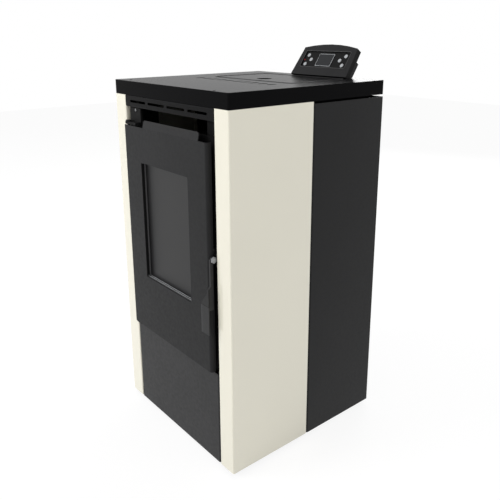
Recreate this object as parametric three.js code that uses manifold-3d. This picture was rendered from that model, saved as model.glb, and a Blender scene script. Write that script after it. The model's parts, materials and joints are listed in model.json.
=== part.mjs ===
// Pellet stove with a cream and black steel casing, a glazed fire door and a tilted control console.
// Millimetres, +Z up, the door faces -Y. The floor is z = 0 and the casing's centre is x = y = 0
// until the last line shifts the group so that its box is centred on the origin.
import * as THREE from "three";
import { mergeVertices } from "three/addons/utils/BufferGeometryUtils.js";
import Module from "manifold-3d";

const wasm = await Module();
wasm.setup();

// ---------------------------------------------------------------- driving dimensions

// General
const fitGap = 0.3; // between two pieces that touch or slide
const casingSheet = 1.5;
const frameSheet = 2;
const bendRadius = 2.5;

// Casing
const casingWidth = 400;
const casingDepth = 405;
const casingHeight = 750; // pan underside to the face of the top plate
const footHeight = 10;
const footDiameter = 30;
const footInset = 52;
const footStud = 8;
const footNut = 14;
const footNutHeight = 5;
const footPadHeight = 7;
const footStudRise = 3; // stud above the locknut
const topPlateSheet = 2;
const topPlateSkirt = 29;
const topPlateCorner = 4;
const columnWidth = 43; // front face of each cream panel
const creamShare = 0.5; // cream part of the casing's depth
const creamRearHem = 12;
const rearPanelDrop = 4.5; // shadow gap under the top plate
const rearPanelFlange = 20;
const panFlange = 22;
const panSlotPlaces = [-60, -30, 0, 30, 60];
const panSlotLength = 120;
const panSlotWidth = 12;
const lowerPanelTop = 212;
const lowerPanelRecess = 0.5;
const lowerPanelSideGap = 1.5;

// Chassis frames
const frameWebInset = 34; // casing side to the outer face of the upright web
const frameFireboxGap = 10; // front flange to the firebox
const frameRearReach = 20;
const lowWindows = [[60, 225], [255, 395]]; // low and high z of the lower cut-outs
const highWindowDrop = [141, 31]; // top plate skirt to the low and high z of the upper cut-out
const frameWindowLength = 240;
const frameWindowCorner = 1;

// Warm-air grille under the top plate
const grilleHeight = 24;
const grilleReturn = 9;
const grilleSlotCount = 4;
const grilleSlotMargin = 19.5; // column to the first slot
const grilleSlotBridge = 9;
const grilleSlotHeight = 5;
const grilleSlotDrop = 12; // top plate skirt to the middle of the slots

// Hopper, lid and top vents
const hopperX = 8; // middle of the lid, the hopper and the feed
const lidSideMargin = 72; // casing side to the lid, before it is moved by hopperX
const lidFrontY = 0;
const lidBackMargin = 44.5; // lid to the casing's back
const lidCorner = 14;
const lidGap = 1.5; // groove round the lid
const lidLedge = 8; // lid edge that rests on the hopper flange
const lidSkirtDepth = 10;
const lidSkirtSheet = 1.5;
const lidSkirtCorner = 3;
const lidSkirtPlay = 1; // to the hopper walls, beyond the fit
const lidPivotRise = 0.5;
const fingerHole = 32;
const fingerHoleShift = -3; // off the lid's middle
const fingerHoleBack = 44; // lid front edge to the middle of the hole
const ventSlotCount = 5;
const ventSlotPitch = 26;
const ventSlotWidth = 9;
const ventSlotLength = 24;
const ventRowGap = 132; // middle of one row to the middle of the other
const ventBefore = 42; // lid front edge to the middle of the vents
const hopperSheet = 1.5;
const hopperFlange = 10; // beyond the lid, under the top plate
const hopperFunnelTop = 575;
const hopperFunnelBottom = 486;
const hopperNeckX = 46;
const hopperNeckY = 56;

// Pellet feed
const feedAngle = 45; // of the auger above the floor, in degrees
const feedLowY = 112;
const feedLowZ = 382;
const feedLength = 158;
const augerTube = 56;
const augerTubeWall = 2.5;
const augerClearance = 1.5;
const augerShaft = 14;
const augerPitch = 34;
const augerFlight = 3;
const augerStub = 12; // shaft beyond the tube's closed end
const tubeEnd = 3; // closed ends of the tube
const outletLength = 44;
const outletMargin = 4; // to the tube's upper end
const inletShare = 0.32; // of the tube's length, to the middle of the hopper's neck
const flightGap = 3; // flight to the tube's closed ends
const chuteWidth = 48;
const chuteHeight = 40;
const chuteSheet = 2;
const chuteAngle = 46; // below level, in degrees
const chuteEndY = -48;
const gearboxSide = 62;
const gearboxLength = 26;
const feedMotor = 54;
const feedMotorLength = 30;
const feedMotorRim = 5; // added to the motor's diameter
const feedMotorRimPlaces = [12, 8]; // gearbox to the rim's far and near side
const feedPlateCorner = 4;
const socketPlay = 2; // beyond the shaft's end

// Firebox
const fireboxSideRoom = 45; // column's inner edge to the firebox side
const fireboxRearY = -22;
const fireboxBottom = 236;
const fireboxDoorDrop = 30; // door's top to the firebox roof
const fireboxWall = 3;
const flangeReach = 34; // beyond the firebox sides
const flangeBelowDoor = 2;
const flangeAboveDoor = 9;
const gasketOutset = 10.5; // firebox opening to the middle of the gasket
const ledgeDepth = 12;
const ledgeHeight = 4;
const ledgeFrontGap = 25;
const ledgeRearGap = 12;
const shelfHeight = 75; // firebox underside to the ledges that carry the shelf
const shelfSheet = 3;
const shelfClear = 3;
const shelfFrontGap = 12;
const baffleThickness = 12;
const baffleDrop = 43; // firebox roof to the ledges that carry the baffle
const baffleFrontGap = 30;
const baffleNotchDepth = 16;
const baffleNotchInset = 6; // inside the smoke duct's width
const baffleNotchCorner = 3;
const firebackThickness = 5;
const firebackRib = 4;
const firebackRibCount = 9;
const firebackSideGap = 1;
const firebackRibMargin = 8;

// Burn pot, its holder and the igniter
const potY = -102;
const potTop = 80;
const potBottom = 70;
const potDepth = 27;
const potWall = 2.5;
const potRim = 8;
const potRimHeight = 3;
const potHole = 7;
const potHolePitch = 20;
const potSideHole = 5;
const potPlay = 1; // round the pot in its holder
const airBoxSideGap = 11; // to the ledge
const airBoxRight = 50;
const airBoxHeight = 31;
const airBoxSheet = 2;
const ashWindowBehind = 42; // behind the pot's middle
const ashWindowGap = 2;
const igniterDiameter = 10;
const igniterX = 30;
const igniterCollar = 22;
const igniterCollarEnd = 4;
const igniterTipGap = 3;
const igniterTail = 46;
const airPipe = 40;
const airPipeWall = 1.5;
const airPipeInset = 22; // air box side to the pipe's middle
const airPipeStickOut = 32;
const airPipeFlange = 54;
const airPipeFlangeThickness = 3;
const pipeFlangeCorner = 6;
const pipeBead = 3; // length of the bead, added to the pipe's diameter as well
const pipeBeadEnd = 5; // bead to the pipe's end

// Ash drawer
const drawerSideGap = 17;
const drawerFrontGap = 17.6;
const drawerRearGap = 7;
const drawerHeight = 36;
const drawerSheet = 1.5;
const drawerPull = 9;
const drawerPullHalf = 35;
const drawerPullDrop = 12; // below the drawer's rim
const drawerPullLip = 10;
const drawerPullBend = 2;

// Fire door
const doorLeftGap = 9; // to the column
const doorRightGap = 10;
const doorBottom = 216;
const doorTopDrop = 61; // top plate skirt to the door's top
const doorProud = 10; // door face before the columns' faces
const doorSheet = 2;
const doorReturn = 11;
const doorBend = 5;
const windowLeftMargin = 61; // door edge to the window
const windowRightMargin = 63;
const windowBottomMargin = 128;
const windowTopMargin = 73;
const windowCorner = 3;
const lipLeftMargin = 74; // door edge to the lip
const lipRightMargin = 26;
const lipRoot = 3;
const lipLength = 16;
const lipLean = 12; // backwards from upright, in degrees
const lipCorner = 6;
const doorFrameDepth = 8;
const doorFrameMargin = 4; // gasket groove to the frame's outer edge
const doorFrameCorner = 6;
const glassThickness = 4;
const glassOverlap = 9;
const glassCorner = 2;
const retainerRim = 2.5;
const retainerLap = 7;
const retainerSheet = 2;
const retainerCorner = 5;
const gasketDiameter = 10;
const gasketSink = 3;
const gasketCorner = 12;

// Door hinge and handle
const hingeInset = 15; // column to the hinge pin
const hingePin = 6;
const hingeEarWall = 1;
const hingeEarHeight = 12;
const hingeEarInset = 1; // from the frame's top and bottom
const hingeEarRoot = 5; // into the frame
const hingeLug = 5;
const hingeLugMargin = 3;
const hingeLugGap = 1.5; // above the door's top and, halved, under its bottom
const hingeBracketHeight = 33.5;
const hingePlateLength = 42;
const hingePlateThickness = 2;
const hingePinHead = 12;
const hingePinHeadHeight = 3;
const handleInset = 8.8; // column to the inner face of the lever
const handleThickness = 3.8;
const pivotBehindFace = 6.5; // door face to the pivot
const pivotZ = 452;
const pivotEye = 12;
const pivotBolt = 6;
const pivotNut = 13;
const pivotNutHeight = 2.6;
const pivotDome = 1.6;
const pivotDomeRim = 1;
const leverAheadFace = 0.9;
const leverBehindFace = 5.3;
const leverRise = 2; // above the pivot
const leverBottom = 352;
const gripAheadFace = 6.5;
const gripThickness = 2.5;
const gripWidth = 21.2; // to the lever's inner face
const gripHem = 4.5;
const gripHemDrop = 2;
const gripTop = 360;
const gripBottom = 301;
const gussetTop = 394;
const gussetRise = 6;
const noseBehindFace = 19.1;
const noseHeight = 7;
const noseTaper = 2;
const noseGap = 2; // under the keeper pin
const keeperPin = 5;
const keeperAhead = 8.6; // pivot to the keeper pin, along Y
const keeperRise = 7.5; // keeper pin above the pivot
const keeperDepth = 22;
const keeperSideGap = 1.7;
const keeperRim = 1; // seat before the pin
const doorBoss = 10; // thickening of the door frame round the handle bolt
const doorBossHalf = 12;

// Smoke extractor, at the rear left
const smokeFanWidth = 48;
const smokeFanY = 92;
const smokeFanZ = 128;
const smokeFanWall = 2;
const smokeScrollStart = 58;
const smokeScrollGrowth = 22;
const smokeScrollAngles = [-30, 270]; // where the spiral starts and ends
const smokeScrollStep = 20;
const smokeScrollLow = -90; // the spiral grows from here
const smokeInlet = 66;
const smokeOutletHeight = 60;
const impellerDiameter = 104;
const impellerWidth = 24;
const impellerBlades = 9;
const impellerHub = 20;
const impellerHubSink = 4;
const impellerDisc = 2;
const impellerGap = 6; // to the motor side of the housing
const bladeThickness = 2;
const bladeSweep = -38; // in degrees
const bladeSteps = 2;
const smokeShaft = 8;
const smokeShaftReach = 15; // into the motor
const smokeMotor = 66;
const smokeMotorFlange = 80;
const smokeMotorCap = 42;
const smokeMotorLength = 26;
const motorPlate = 2;
const motorStep = 6; // cap beyond the can
const flueDiameter = 80;
const flueWall = 1.5;
const flueStickOut = 45;
const flueFlange = 92;
const flueFlangeThickness = 3;
const flueFlangeTrim = 14; // off the lower edge, clear of the pan
const smokeDuctDepth = 24;
const smokeDuctFrontY = -110;
const smokeDuctWidth = 60;
const smokeDuctMargin = 9; // round the fan inlet
const smokeDuctDrop = 40; // firebox underside to the front corner of the lower leg
const smokeDuctSheet = 2;
const smokeWindowHeight = 24;
const smokeWindowInset = 10; // inside the duct's width
const smokeWindowGap = 2; // to the firebox roof

// Room-air fan, at the rear right
const roomFanLeftGap = 24; // smoke fan to the room fan
const roomFanRightGap = 58; // room fan to the chassis frame
const roomFanY = 22;
const roomFanZ = 120;
const roomRotor = 60;
const roomBlades = 14;
const roomBladeTurn = 32; // in degrees
const roomBladeDepth = 8;
const roomBladeThickness = 1.6;
const roomDisc = 2;
const roomShaft = 6;
const roomShaftEnd = 4; // beyond the left cheek
const roomShaftReach = 12; // into the motor
const roomFanWall = 1.5;
const roomFanClearance = 4;
const roomOutletHeight = 36; // above the rotor
const roomOutletDepth = 30;
const roomOutletShift = 2; // behind the rotor's front
const roomWallDrop = 6; // under the rotor's clearance
const roomWallRise = 22;
const roomWallRun = 28;
const roomWallEndRise = 3;
const roomWallBend = 16;
const roomTongueRise = 6; // above the rotor
const roomTongueRun = 7;
const roomTongueGap = 1;
const roomCheekRim = 8; // round the rotor
const roomCheekFoot = 20; // outlet to the cheek's foot
const roomMotor = 58;
const roomMotorRim = 4; // plate round the motor
const roomMotorCap = 38;
const roomMotorLength = 40;

// Electrics
const boardBackGap = 52.5; // board to the casing's back
const boardPost = 6;
const boardPostInset = 8;
const boardLength = 110;
const boardBottom = 430;
const boardHeight = 130;
const boardThickness = 1.6;
const boardStandoff = 9;
// Each component's place, size and height, as shares of the board's length, height and standoff.
const boardParts = [
  [0.22, 0.19, 0.31, 0.23, 1.2],
  [0.56, 0.15, 0.16, 0.12, 1],
  [0.8, 0.15, 0.16, 0.12, 1],
  [0.64, 0.54, 0.27, 0.06, 0.45],
  [0.18, 0.81, 0.24, 0.09, 0.78],
  [0.55, 0.83, 0.31, 0.08, 0.78],
];
const inletFrameGap = 48; // middle of the inlet to the chassis frame
const inletZ = 66;
const inletWidth = 30;
const inletHeight = 60;
const inletFlange = 2;
const inletRim = 3; // flange beyond the body
const inletBody = 24;
const socketWidth = 24;
const socketHeight = 17;
const socketDepth = 17;
const socketChamfer = 5;
const socketDrop = 15; // under the inlet's middle
const socketPins = [[-7, -1], [0, 3], [7, -1]];
const socketPinHalf = [1, 2];
const socketPinSink = 4;
const rockerRise = 13; // above the inlet's middle
const rockerWidth = 15;
const rockerHeight = 22;
const rockerDepth = 11;
const rockerAngle = 16;
const rockerFoot = 4;
const rockerDish = 1.4;
const rockerPlay = 0.5;
const rockerWell = 4; // room behind the rocker
const rockerProud = 0.8;

// Control console
const consoleX = 41.5;
const consoleBackMargin = 38.5;
const consoleTilt = 54.7; // above level, in degrees
const consoleHalfTop = 79;
const consoleHalfBottom = 84;
const consoleShoulder = 75; // along the slope
const consolePeak = 84;
const consoleFoot = 4;
const bezelDepth = 12;
const bezelWall = 2.5;
const bezelFloor = 2.5;
const bezelRecess = 2;
const recessHalf = 67.5;
const recessBottom = 24.5;
const recessTop = 66;
const housingDepth = 8;
const housingTop = 50;
const housingSheet = 2;
const screenWidth = 45;
const screenHeight = 31;
const screenBottom = 28.4;
const screenThickness = 3;
const screenRim = 2.2;
const screenRimSheet = 0.9;
const screenLap = 1; // rim over the screen
const keyDiameter = 9;
const keyGap = 0.4;
const keyProud = 1.2;
const keyCollar = 1;
const keyBevel = [0.9, 0.5]; // in from the edge and down from the top
const keyCrown = 0.2;
const keyPlaces = [[-56, 55.5], [-43.5, 44.5], [-56, 32.5], [56, 55.5], [43.5, 44.5], [56, 32.5]];

// Back panel
const louvreCount = 8;
const louvreLength = 130;
const louvreHeight = 5;
const louvrePitch = 14;
const louvreBottom = 470;

// ---------------------------------------------------------------- derived places

const halfWidth = casingWidth / 2;
const frontY = -casingDepth / 2;
const backY = casingDepth / 2;
const casingBottom = footHeight;
const casingTop = footHeight + casingHeight;
const skirtBottom = casingTop - topPlateSkirt;
const plateUnderside = casingTop - topPlateSheet;
const columnInner = halfWidth - columnWidth;
const creamDepth = creamShare * casingDepth;
const frameWebX = halfWidth - frameWebInset;
const frameWindows = [...lowWindows, highWindowDrop.map((drop) => skirtBottom - drop)];
const grilleSlotPitch = (2 * (columnInner - grilleSlotMargin) + grilleSlotBridge) / grilleSlotCount;
const grilleSlotLength = grilleSlotPitch - grilleSlotBridge;

const doorLeft = doorLeftGap - columnInner;
const doorRight = columnInner - doorRightGap;
const doorTop = skirtBottom - doorTopDrop;
const windowLeft = doorLeft + windowLeftMargin;
const windowRight = doorRight - windowRightMargin;
const windowBottom = doorBottom + windowBottomMargin;
const windowTop = doorTop - windowTopMargin;
const lipLeft = doorLeft + lipLeftMargin;
const lipRight = doorRight - lipRightMargin;
const hingeX = hingeInset - columnInner;
const handleX = columnInner - handleInset;
const gripLeft = handleX - gripWidth;

const doorFace = frontY - doorProud;
const doorBack = doorFace + doorSheet;
const doorFrameFront = doorBack + fitGap;
const doorFrameRear = doorFrameFront + doorFrameDepth;
const glassFront = doorFrameRear + fitGap;
const glassRear = glassFront + glassThickness;
const retainerFront = glassRear + fitGap;
const gasketY = doorFrameRear - gasketSink + gasketDiameter / 2 + fitGap;
const flangeFront = gasketY + gasketDiameter / 2 + fitGap;
const flangeRear = flangeFront + fireboxWall;
const frameFront = flangeRear + fitGap;
const pivotY = doorFace + pivotBehindFace;
const leverFront = doorFace - leverAheadFace;
const leverRear = doorFace + leverBehindFace;
const gripFront = doorFace - gripAheadFace;
const noseRear = doorFace + noseBehindFace;

const fireHalf = columnInner - fireboxSideRoom;
const fireboxTop = doorTop - fireboxDoorDrop;
const flangeHalf = fireHalf + flangeReach;
const flangeBottom = doorBottom - flangeBelowDoor;
const flangeTop = doorTop + flangeAboveDoor;
const fireInner = fireHalf - fireboxWall;
const fireFloor = fireboxBottom + fireboxWall;
const fireRoof = fireboxTop - fireboxWall;
const fireRearInner = fireboxRearY - fireboxWall;
const ledgeInner = fireInner - ledgeDepth;
const firebackHalf = ledgeInner - firebackSideGap;
const drawerWidth = 2 * (fireInner - drawerSideGap);
const drawerFrontY = flangeRear + drawerFrontGap;
const drawerRearY = fireRearInner - drawerRearGap;
const airBoxLeft = airBoxSideGap - ledgeInner;
const airPipeX = airBoxLeft + airPipeInset;
const shelfLedgeTop = fireboxBottom + shelfHeight;
const shelfBottom = shelfLedgeTop + fitGap;
const shelfTop = shelfBottom + shelfSheet;
const baffleLedgeTop = fireRoof - baffleDrop;
const airBoxBottom = shelfBottom - airBoxHeight;
const airAxisZ = airBoxBottom + airBoxHeight / 2;

const gasketHalf = fireInner + gasketOutset;
const gasketLow = fireFloor - gasketOutset;
const gasketHigh = fireRoof + gasketOutset;
const grooveHalf = gasketDiameter / 2 + fitGap;
const doorFrameHalf = gasketHalf + grooveHalf + doorFrameMargin;
const doorFrameLow = gasketLow - grooveHalf - doorFrameMargin;
const doorFrameHigh = gasketHigh + grooveHalf + doorFrameMargin;
const hingeY = (doorFrameFront + doorFrameRear) / 2;
const hingeEarRadius = hingePin / 2 + hingeEarWall;

const lidWidth = casingWidth - 2 * lidSideMargin;
const lidRearY = backY - lidBackMargin;
const lidLeft = hopperX - lidWidth / 2;
const lidRight = hopperX + lidWidth / 2;
const mouth = {
  x0: lidLeft + lidLedge,
  x1: lidRight - lidLedge,
  y0: lidFrontY + lidLedge,
  y1: lidRearY - lidLedge,
};

const smokeFanX = -fireHalf; // outer face of the inlet side
const smokeFanRight = smokeFanX + smokeFanWidth;
const roomFanLeft = smokeFanRight + roomFanLeftGap;
const roomFanRight = frameWebX - roomFanRightGap;
const inletX = frameWebX - inletFrameGap;
const consoleY = backY - consoleBackMargin;
const boardY = backY - boardBackGap - boardLength;

// ---------------------------------------------------------------- solids

function solid(geometry) {
  const bare = geometry.clone();
  bare.deleteAttribute("normal");
  bare.deleteAttribute("uv");
  const merged = mergeVertices(bare, 1e-4);
  const kept = [];
  const index = merged.index.array;
  for (let i = 0; i < index.length; i += 3) {
    const [a, b, c] = [index[i], index[i + 1], index[i + 2]];
    if (a !== b && b !== c && c !== a) kept.push(a, b, c);
  }
  const vertProperties = new Float32Array(merged.attributes.position.array);
  const triVerts = new Uint32Array(kept);
  return new wasm.Manifold(new wasm.Mesh({ numProp: 3, vertProperties, triVerts }));
}

const join = (first, ...rest) => rest.reduce((sum, next) => sum.add(next), first);
const cut = (first, ...rest) => rest.reduce((sum, next) => sum.subtract(next), first);

function block(x0, x1, y0, y1, z0, z1) {
  const geometry = new THREE.BoxGeometry(x1 - x0, y1 - y0, z1 - z0);
  return solid(geometry.translate((x0 + x1) / 2, (y0 + y1) / 2, (z0 + z1) / 2));
}

function extrude(shape, depth, segments) {
  return new THREE.ExtrudeGeometry(shape, { depth, bevelEnabled: false, curveSegments: segments });
}

// A shape drawn in X and Y, raised from z0 to z1.
function standing(shape, z0, z1, segments = 3) {
  return solid(extrude(shape, z1 - z0, segments).translate(0, 0, z0));
}

// A shape drawn in X and Z, from y0 back to y1.
function facing(shape, y0, y1, segments = 3) {
  return solid(extrude(shape, y1 - y0, segments).rotateX(Math.PI / 2).translate(0, y1, 0));
}

// A shape drawn in Y and Z, from x0 across to x1.
function sideways(shape, x0, x1, segments = 3) {
  const turn = new THREE.Matrix4().makeBasis(
    new THREE.Vector3(0, 1, 0),
    new THREE.Vector3(0, 0, 1),
    new THREE.Vector3(1, 0, 0),
  );
  return solid(extrude(shape, x1 - x0, segments).applyMatrix4(turn).translate(x0, 0, 0));
}

function polygon(points) {
  return new THREE.Shape(points.map(([a, b]) => new THREE.Vector2(a, b)));
}

function roundRect(x0, x1, y0, y1, radius) {
  const shape = new THREE.Shape();
  shape.absarc(x1 - radius, y0 + radius, radius, -Math.PI / 2, 0);
  shape.absarc(x1 - radius, y1 - radius, radius, 0, Math.PI / 2);
  shape.absarc(x0 + radius, y1 - radius, radius, Math.PI / 2, Math.PI);
  shape.absarc(x0 + radius, y0 + radius, radius, Math.PI, 1.5 * Math.PI);
  return shape;
}

function disc(x, y, diameter) {
  const shape = new THREE.Shape();
  shape.absarc(x, y, diameter / 2, 0, Math.PI);
  shape.absarc(x, y, diameter / 2, Math.PI, 2 * Math.PI);
  return shape;
}

// A slot with round ends whose long axis follows the first or the second drawing axis.
function slot(x, y, length, width, upright = false) {
  const half = upright ? [width / 2, length / 2] : [length / 2, width / 2];
  return roundRect(x - half[0], x + half[0], y - half[1], y + half[1], width / 2 - 0.01);
}

function withHoles(shape, ...holes) {
  shape.holes.push(...holes);
  return shape;
}

function frameShape(outer, inner, outerRadius, innerRadius) {
  return withHoles(roundRect(...outer, outerRadius), roundRect(...inner, innerRadius));
}

// The section of a sheet folded along a path, with rounded bends. The path is the sheet's middle line.
function foldedSheet(path, thickness, radius = bendRadius, steps = 3) {
  const line = [];
  path.forEach(([x, y], i) => {
    const here = new THREE.Vector2(x, y);
    if (i === 0 || i === path.length - 1) {
      line.push(here);
      return;
    }
    const before = new THREE.Vector2(...path[i - 1]).sub(here).normalize();
    const after = new THREE.Vector2(...path[i + 1]).sub(here).normalize();
    const half = Math.acos(before.dot(after)) / 2;
    const back = radius / Math.tan(half);
    const start = here.clone().addScaledVector(before, back);
    const end = here.clone().addScaledVector(after, back);
    const inwards = before.clone().add(after).normalize();
    const centre = here.clone().addScaledVector(inwards, radius / Math.sin(half));
    const from = start.clone().sub(centre);
    const turn = Math.atan2(from.cross(end.clone().sub(centre)), from.dot(end.clone().sub(centre)));
    for (let k = 0; k <= steps; k += 1) {
      line.push(from.clone().rotateAround(new THREE.Vector2(), (turn * k) / steps).add(centre));
    }
  });
  const side = (sign) => line.map((point, i) => {
    const ahead = line[Math.min(i + 1, line.length - 1)].clone().sub(point).normalize();
    const behind = point.clone().sub(line[Math.max(i - 1, 0)]).normalize();
    const along = ahead.add(behind).normalize();
    const bend = i > 0 && i < line.length - 1
      ? along.dot(line[i + 1].clone().sub(point).normalize())
      : 1;
    const normal = new THREE.Vector2(-along.y, along.x);
    return point.clone().addScaledVector(normal, (sign * thickness) / 2 / bend);
  });
  return new THREE.Shape([...side(1), ...side(-1).reverse()]);
}

const mirrored = (path) => path.map(([x, y]) => [-x, y]);

// A tapered block between the rectangle low at z0 and the rectangle high at z1.
function taper(low, z0, high, z1) {
  const corners = [];
  for (const [[x0, x1, y0, y1], z] of [[low, z0], [high, z1]]) {
    corners.push(x0, y0, z, x1, y0, z, x1, y1, z, x0, y1, z);
  }
  const faces = [0, 2, 1, 0, 3, 2, 4, 5, 6, 4, 6, 7];
  for (let i = 0; i < 4; i += 1) {
    const j = (i + 1) % 4;
    faces.push(i, j, 4 + j, i, 4 + j, 4 + i);
  }
  const geometry = new THREE.BufferGeometry();
  geometry.setAttribute("position", new THREE.Float32BufferAttribute(corners, 3));
  geometry.setIndex(faces);
  return solid(geometry);
}

function square(cx, cy, side) {
  return [cx - side / 2, cx + side / 2, cy - side / 2, cy + side / 2];
}

// ---------------------------------------------------------------- scene helpers

function paint(color, roughness, metalness) {
  return () => new THREE.MeshStandardMaterial({ color, roughness, metalness });
}

const creamPaint = paint("#f1eee3", 0.2, 0);
const blackPaint = paint("#2b2b2c", 0.5, 0.1);
const doorPaint = paint("#343435", 0.55, 0.1);
const topPaint = paint("#2e2e2f", 0.35, 0.1);
const castIron = paint("#3a3937", 0.85, 0.3);
const zinc = paint("#aeb0b0", 0.4, 0.9);
const steel = paint("#8f9192", 0.45, 0.9);
const darkGlass = paint("#26282a", 0.08, 0);
const rope = paint("#8d8a83", 0.95, 0);
const plastic = paint("#1b1b1c", 0.5, 0);
const mineral = paint("#c7b795", 0.9, 0);
const ceramic = paint("#d9d5cc", 0.6, 0);
const boardGreen = paint("#2f5a3c", 0.6, 0);
const silver = paint("#c9cbcd", 0.3, 0.8);

const stove = new THREE.Group();

function groupAt(x, y, z, rotationX = 0) {
  const group = new THREE.Group();
  group.position.set(x, y, z);
  group.rotation.x = rotationX;
  stove.add(group);
  return group;
}

// Adds a solid that is drawn in the group's own coordinates.
function carry(group, name, body, material) {
  const { vertProperties, triVerts } = body.getMesh();
  const geometry = new THREE.BufferGeometry();
  geometry.setAttribute("position", new THREE.Float32BufferAttribute(vertProperties, 3));
  geometry.setIndex([...triVerts]);
  const mesh = new THREE.Mesh(geometry, material());
  mesh.name = name;
  group.add(mesh);
  return mesh;
}

// Adds a solid drawn in the casing's coordinates to a group that only stands elsewhere.
function carryShifted(group, name, body, material) {
  const mesh = carry(group, name, body, material);
  mesh.geometry.translate(-group.position.x, -group.position.y, -group.position.z);
  return mesh;
}

// ---------------------------------------------------------------- casing

const casing = groupAt(0, 0, 0);
const backPanelRear = backY - casingSheet - fitGap;
const backPanelFront = backPanelRear - casingSheet;
const panHalf = halfWidth - casingSheet - 2 * fitGap;
const panFrontY = frontY + lowerPanelRecess + casingSheet + fitGap;
const panRearY = backPanelFront - fitGap;
const panTop = casingBottom + panFlange;
const panFloor = casingBottom + frameSheet;
const footX = panHalf - footInset;
const footFrontY = panFrontY + footInset;
const footRearY = panRearY - footInset;

function pan() {
  const tray = cut(
    block(-panHalf, panHalf, panFrontY, panRearY, casingBottom, panTop),
    block(
      -panHalf + frameSheet, panHalf - frameSheet,
      panFrontY + frameSheet, panRearY - frameSheet,
      panFloor, panTop + 1,
    ),
  );
  const holes = [];
  for (const x of [-footX, footX]) {
    for (const y of [footFrontY, footRearY]) {
      holes.push(standing(disc(x, y, footStud + 2 * fitGap), 0, panTop));
    }
  }
  for (const x of panSlotPlaces) {
    holes.push(standing(slot(x, 0, panSlotLength, panSlotWidth, true), 0, panTop, 1));
  }
  return cut(tray, ...holes);
}

// What the pan takes up, cut from the folded edges of the panels that wrap it.
const panRoom = block(
  -panHalf - fitGap, panHalf + fitGap, panFrontY - fitGap, panRearY + fitGap, 0, panTop + fitGap,
);

function foot() {
  const stud = standing(disc(0, 0, footStud), footPadHeight - 1, panFloor + footNutHeight + footStudRise, 2);
  const pad = standing(disc(0, 0, footDiameter), 0, footPadHeight);
  const collar = standing(disc(0, 0, footNut), footPadHeight - 1, casingBottom - fitGap, 2);
  const locknut = solid(new THREE.CylinderGeometry(footNut / 2, footNut / 2, footNutHeight, 6)
    .rotateX(Math.PI / 2)
    .translate(0, 0, panFloor + fitGap + footNutHeight / 2));
  return join(stud, pad, collar, locknut);
}

function creamPath() {
  const middle = casingSheet / 2;
  return [
    [columnInner + middle, frameFront - fitGap],
    [columnInner + middle, frontY + middle],
    [halfWidth - middle, frontY + middle],
    [halfWidth - middle, frontY + creamDepth - middle],
    [halfWidth - creamRearHem, frontY + creamDepth - middle],
  ];
}

function rearSidePath() {
  const middle = casingSheet / 2;
  const hemY = frontY + creamDepth + fitGap + middle;
  return [
    [halfWidth - creamRearHem, hemY],
    [halfWidth - middle, hemY],
    [halfWidth - middle, backY - middle],
    [halfWidth - rearPanelFlange, backY - middle],
  ];
}

function framePath() {
  const middle = frameSheet / 2;
  const rear = backPanelFront - fitGap - middle;
  return [
    [fireHalf + frameFireboxGap, frameFront + middle],
    [frameWebX - middle, frameFront + middle],
    [frameWebX - middle, rear],
    [frameWebX - frameRearReach, rear],
  ];
}

function panel(path, top) {
  return cut(standing(foldedSheet(path, casingSheet), casingBottom, top), panRoom);
}

function chassisFrame(side) {
  const path = side < 0 ? mirrored(framePath()) : framePath();
  const sheet = standing(foldedSheet(path, frameSheet), panFloor + fitGap, plateUnderside - fitGap);
  const reliefs = frameWindows.map(([low, high]) => facing(
    roundRect(
      side * frameWebX - frameRearReach, side * frameWebX + frameRearReach, low, high, frameWindowCorner,
    ),
    -frameWindowLength / 2, frameWindowLength / 2,
  ));
  const panNotch = block(-halfWidth, halfWidth, panRearY - frameSheet - fitGap, backY, 0, panTop + fitGap);
  return cut(sheet, ...reliefs, panNotch);
}

function topPlate() {
  const outer = roundRect(-halfWidth, halfWidth, frontY, backY, topPlateCorner);
  const inset = topPlateSheet;
  const inner = roundRect(-halfWidth + inset, halfWidth - inset, frontY + inset, backY - inset, 2);
  const tray = cut(
    standing(outer, skirtBottom, casingTop, 2),
    standing(inner, skirtBottom - 1, plateUnderside, 2),
  );
  const lidHole = roundRect(
    lidLeft - lidGap, lidRight + lidGap, lidFrontY - lidGap, lidRearY + lidGap, lidCorner + lidGap,
  );
  const cuts = [standing(lidHole, plateUnderside - 1, casingTop + 1)];
  for (const row of [-1, 1]) {
    for (let i = 0; i < ventSlotCount; i += 1) {
      const x = hopperX + (row * ventRowGap) / 2 + (i - (ventSlotCount - 1) / 2) * ventSlotPitch;
      const shape = slot(x, lidFrontY - ventBefore, ventSlotLength, ventSlotWidth, true);
      cuts.push(standing(shape, plateUnderside - 1, casingTop + 1, 1));
    }
  }
  return cut(tray, ...cuts);
}

function lowerPanel() {
  const middle = casingSheet / 2;
  const half = columnInner - lowerPanelSideGap - middle;
  const face = frontY + lowerPanelRecess + middle;
  const rear = frameFront - fitGap;
  return panel([[-half, rear], [-half, face], [half, face], [half, rear]], lowerPanelTop);
}

function grille() {
  const middle = casingSheet / 2;
  const top = skirtBottom - fitGap - middle;
  const low = skirtBottom - grilleHeight + middle;
  const profile = [
    [frontY + grilleReturn, low],
    [frontY + middle, low],
    [frontY + middle, top],
    [frameFront - fitGap, top],
  ];
  const half = columnInner - fitGap;
  const strip = sideways(foldedSheet(profile, casingSheet, 1.5, 2), -half, half);
  const slots = [];
  for (let i = 0; i < grilleSlotCount; i += 1) {
    const x = (i - (grilleSlotCount - 1) / 2) * grilleSlotPitch;
    const shape = slot(x, skirtBottom - grilleSlotDrop, grilleSlotLength, grilleSlotHeight);
    slots.push(facing(shape, frontY - 1, frontY + casingSheet + 1, 1));
  }
  return cut(strip, ...slots);
}

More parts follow.
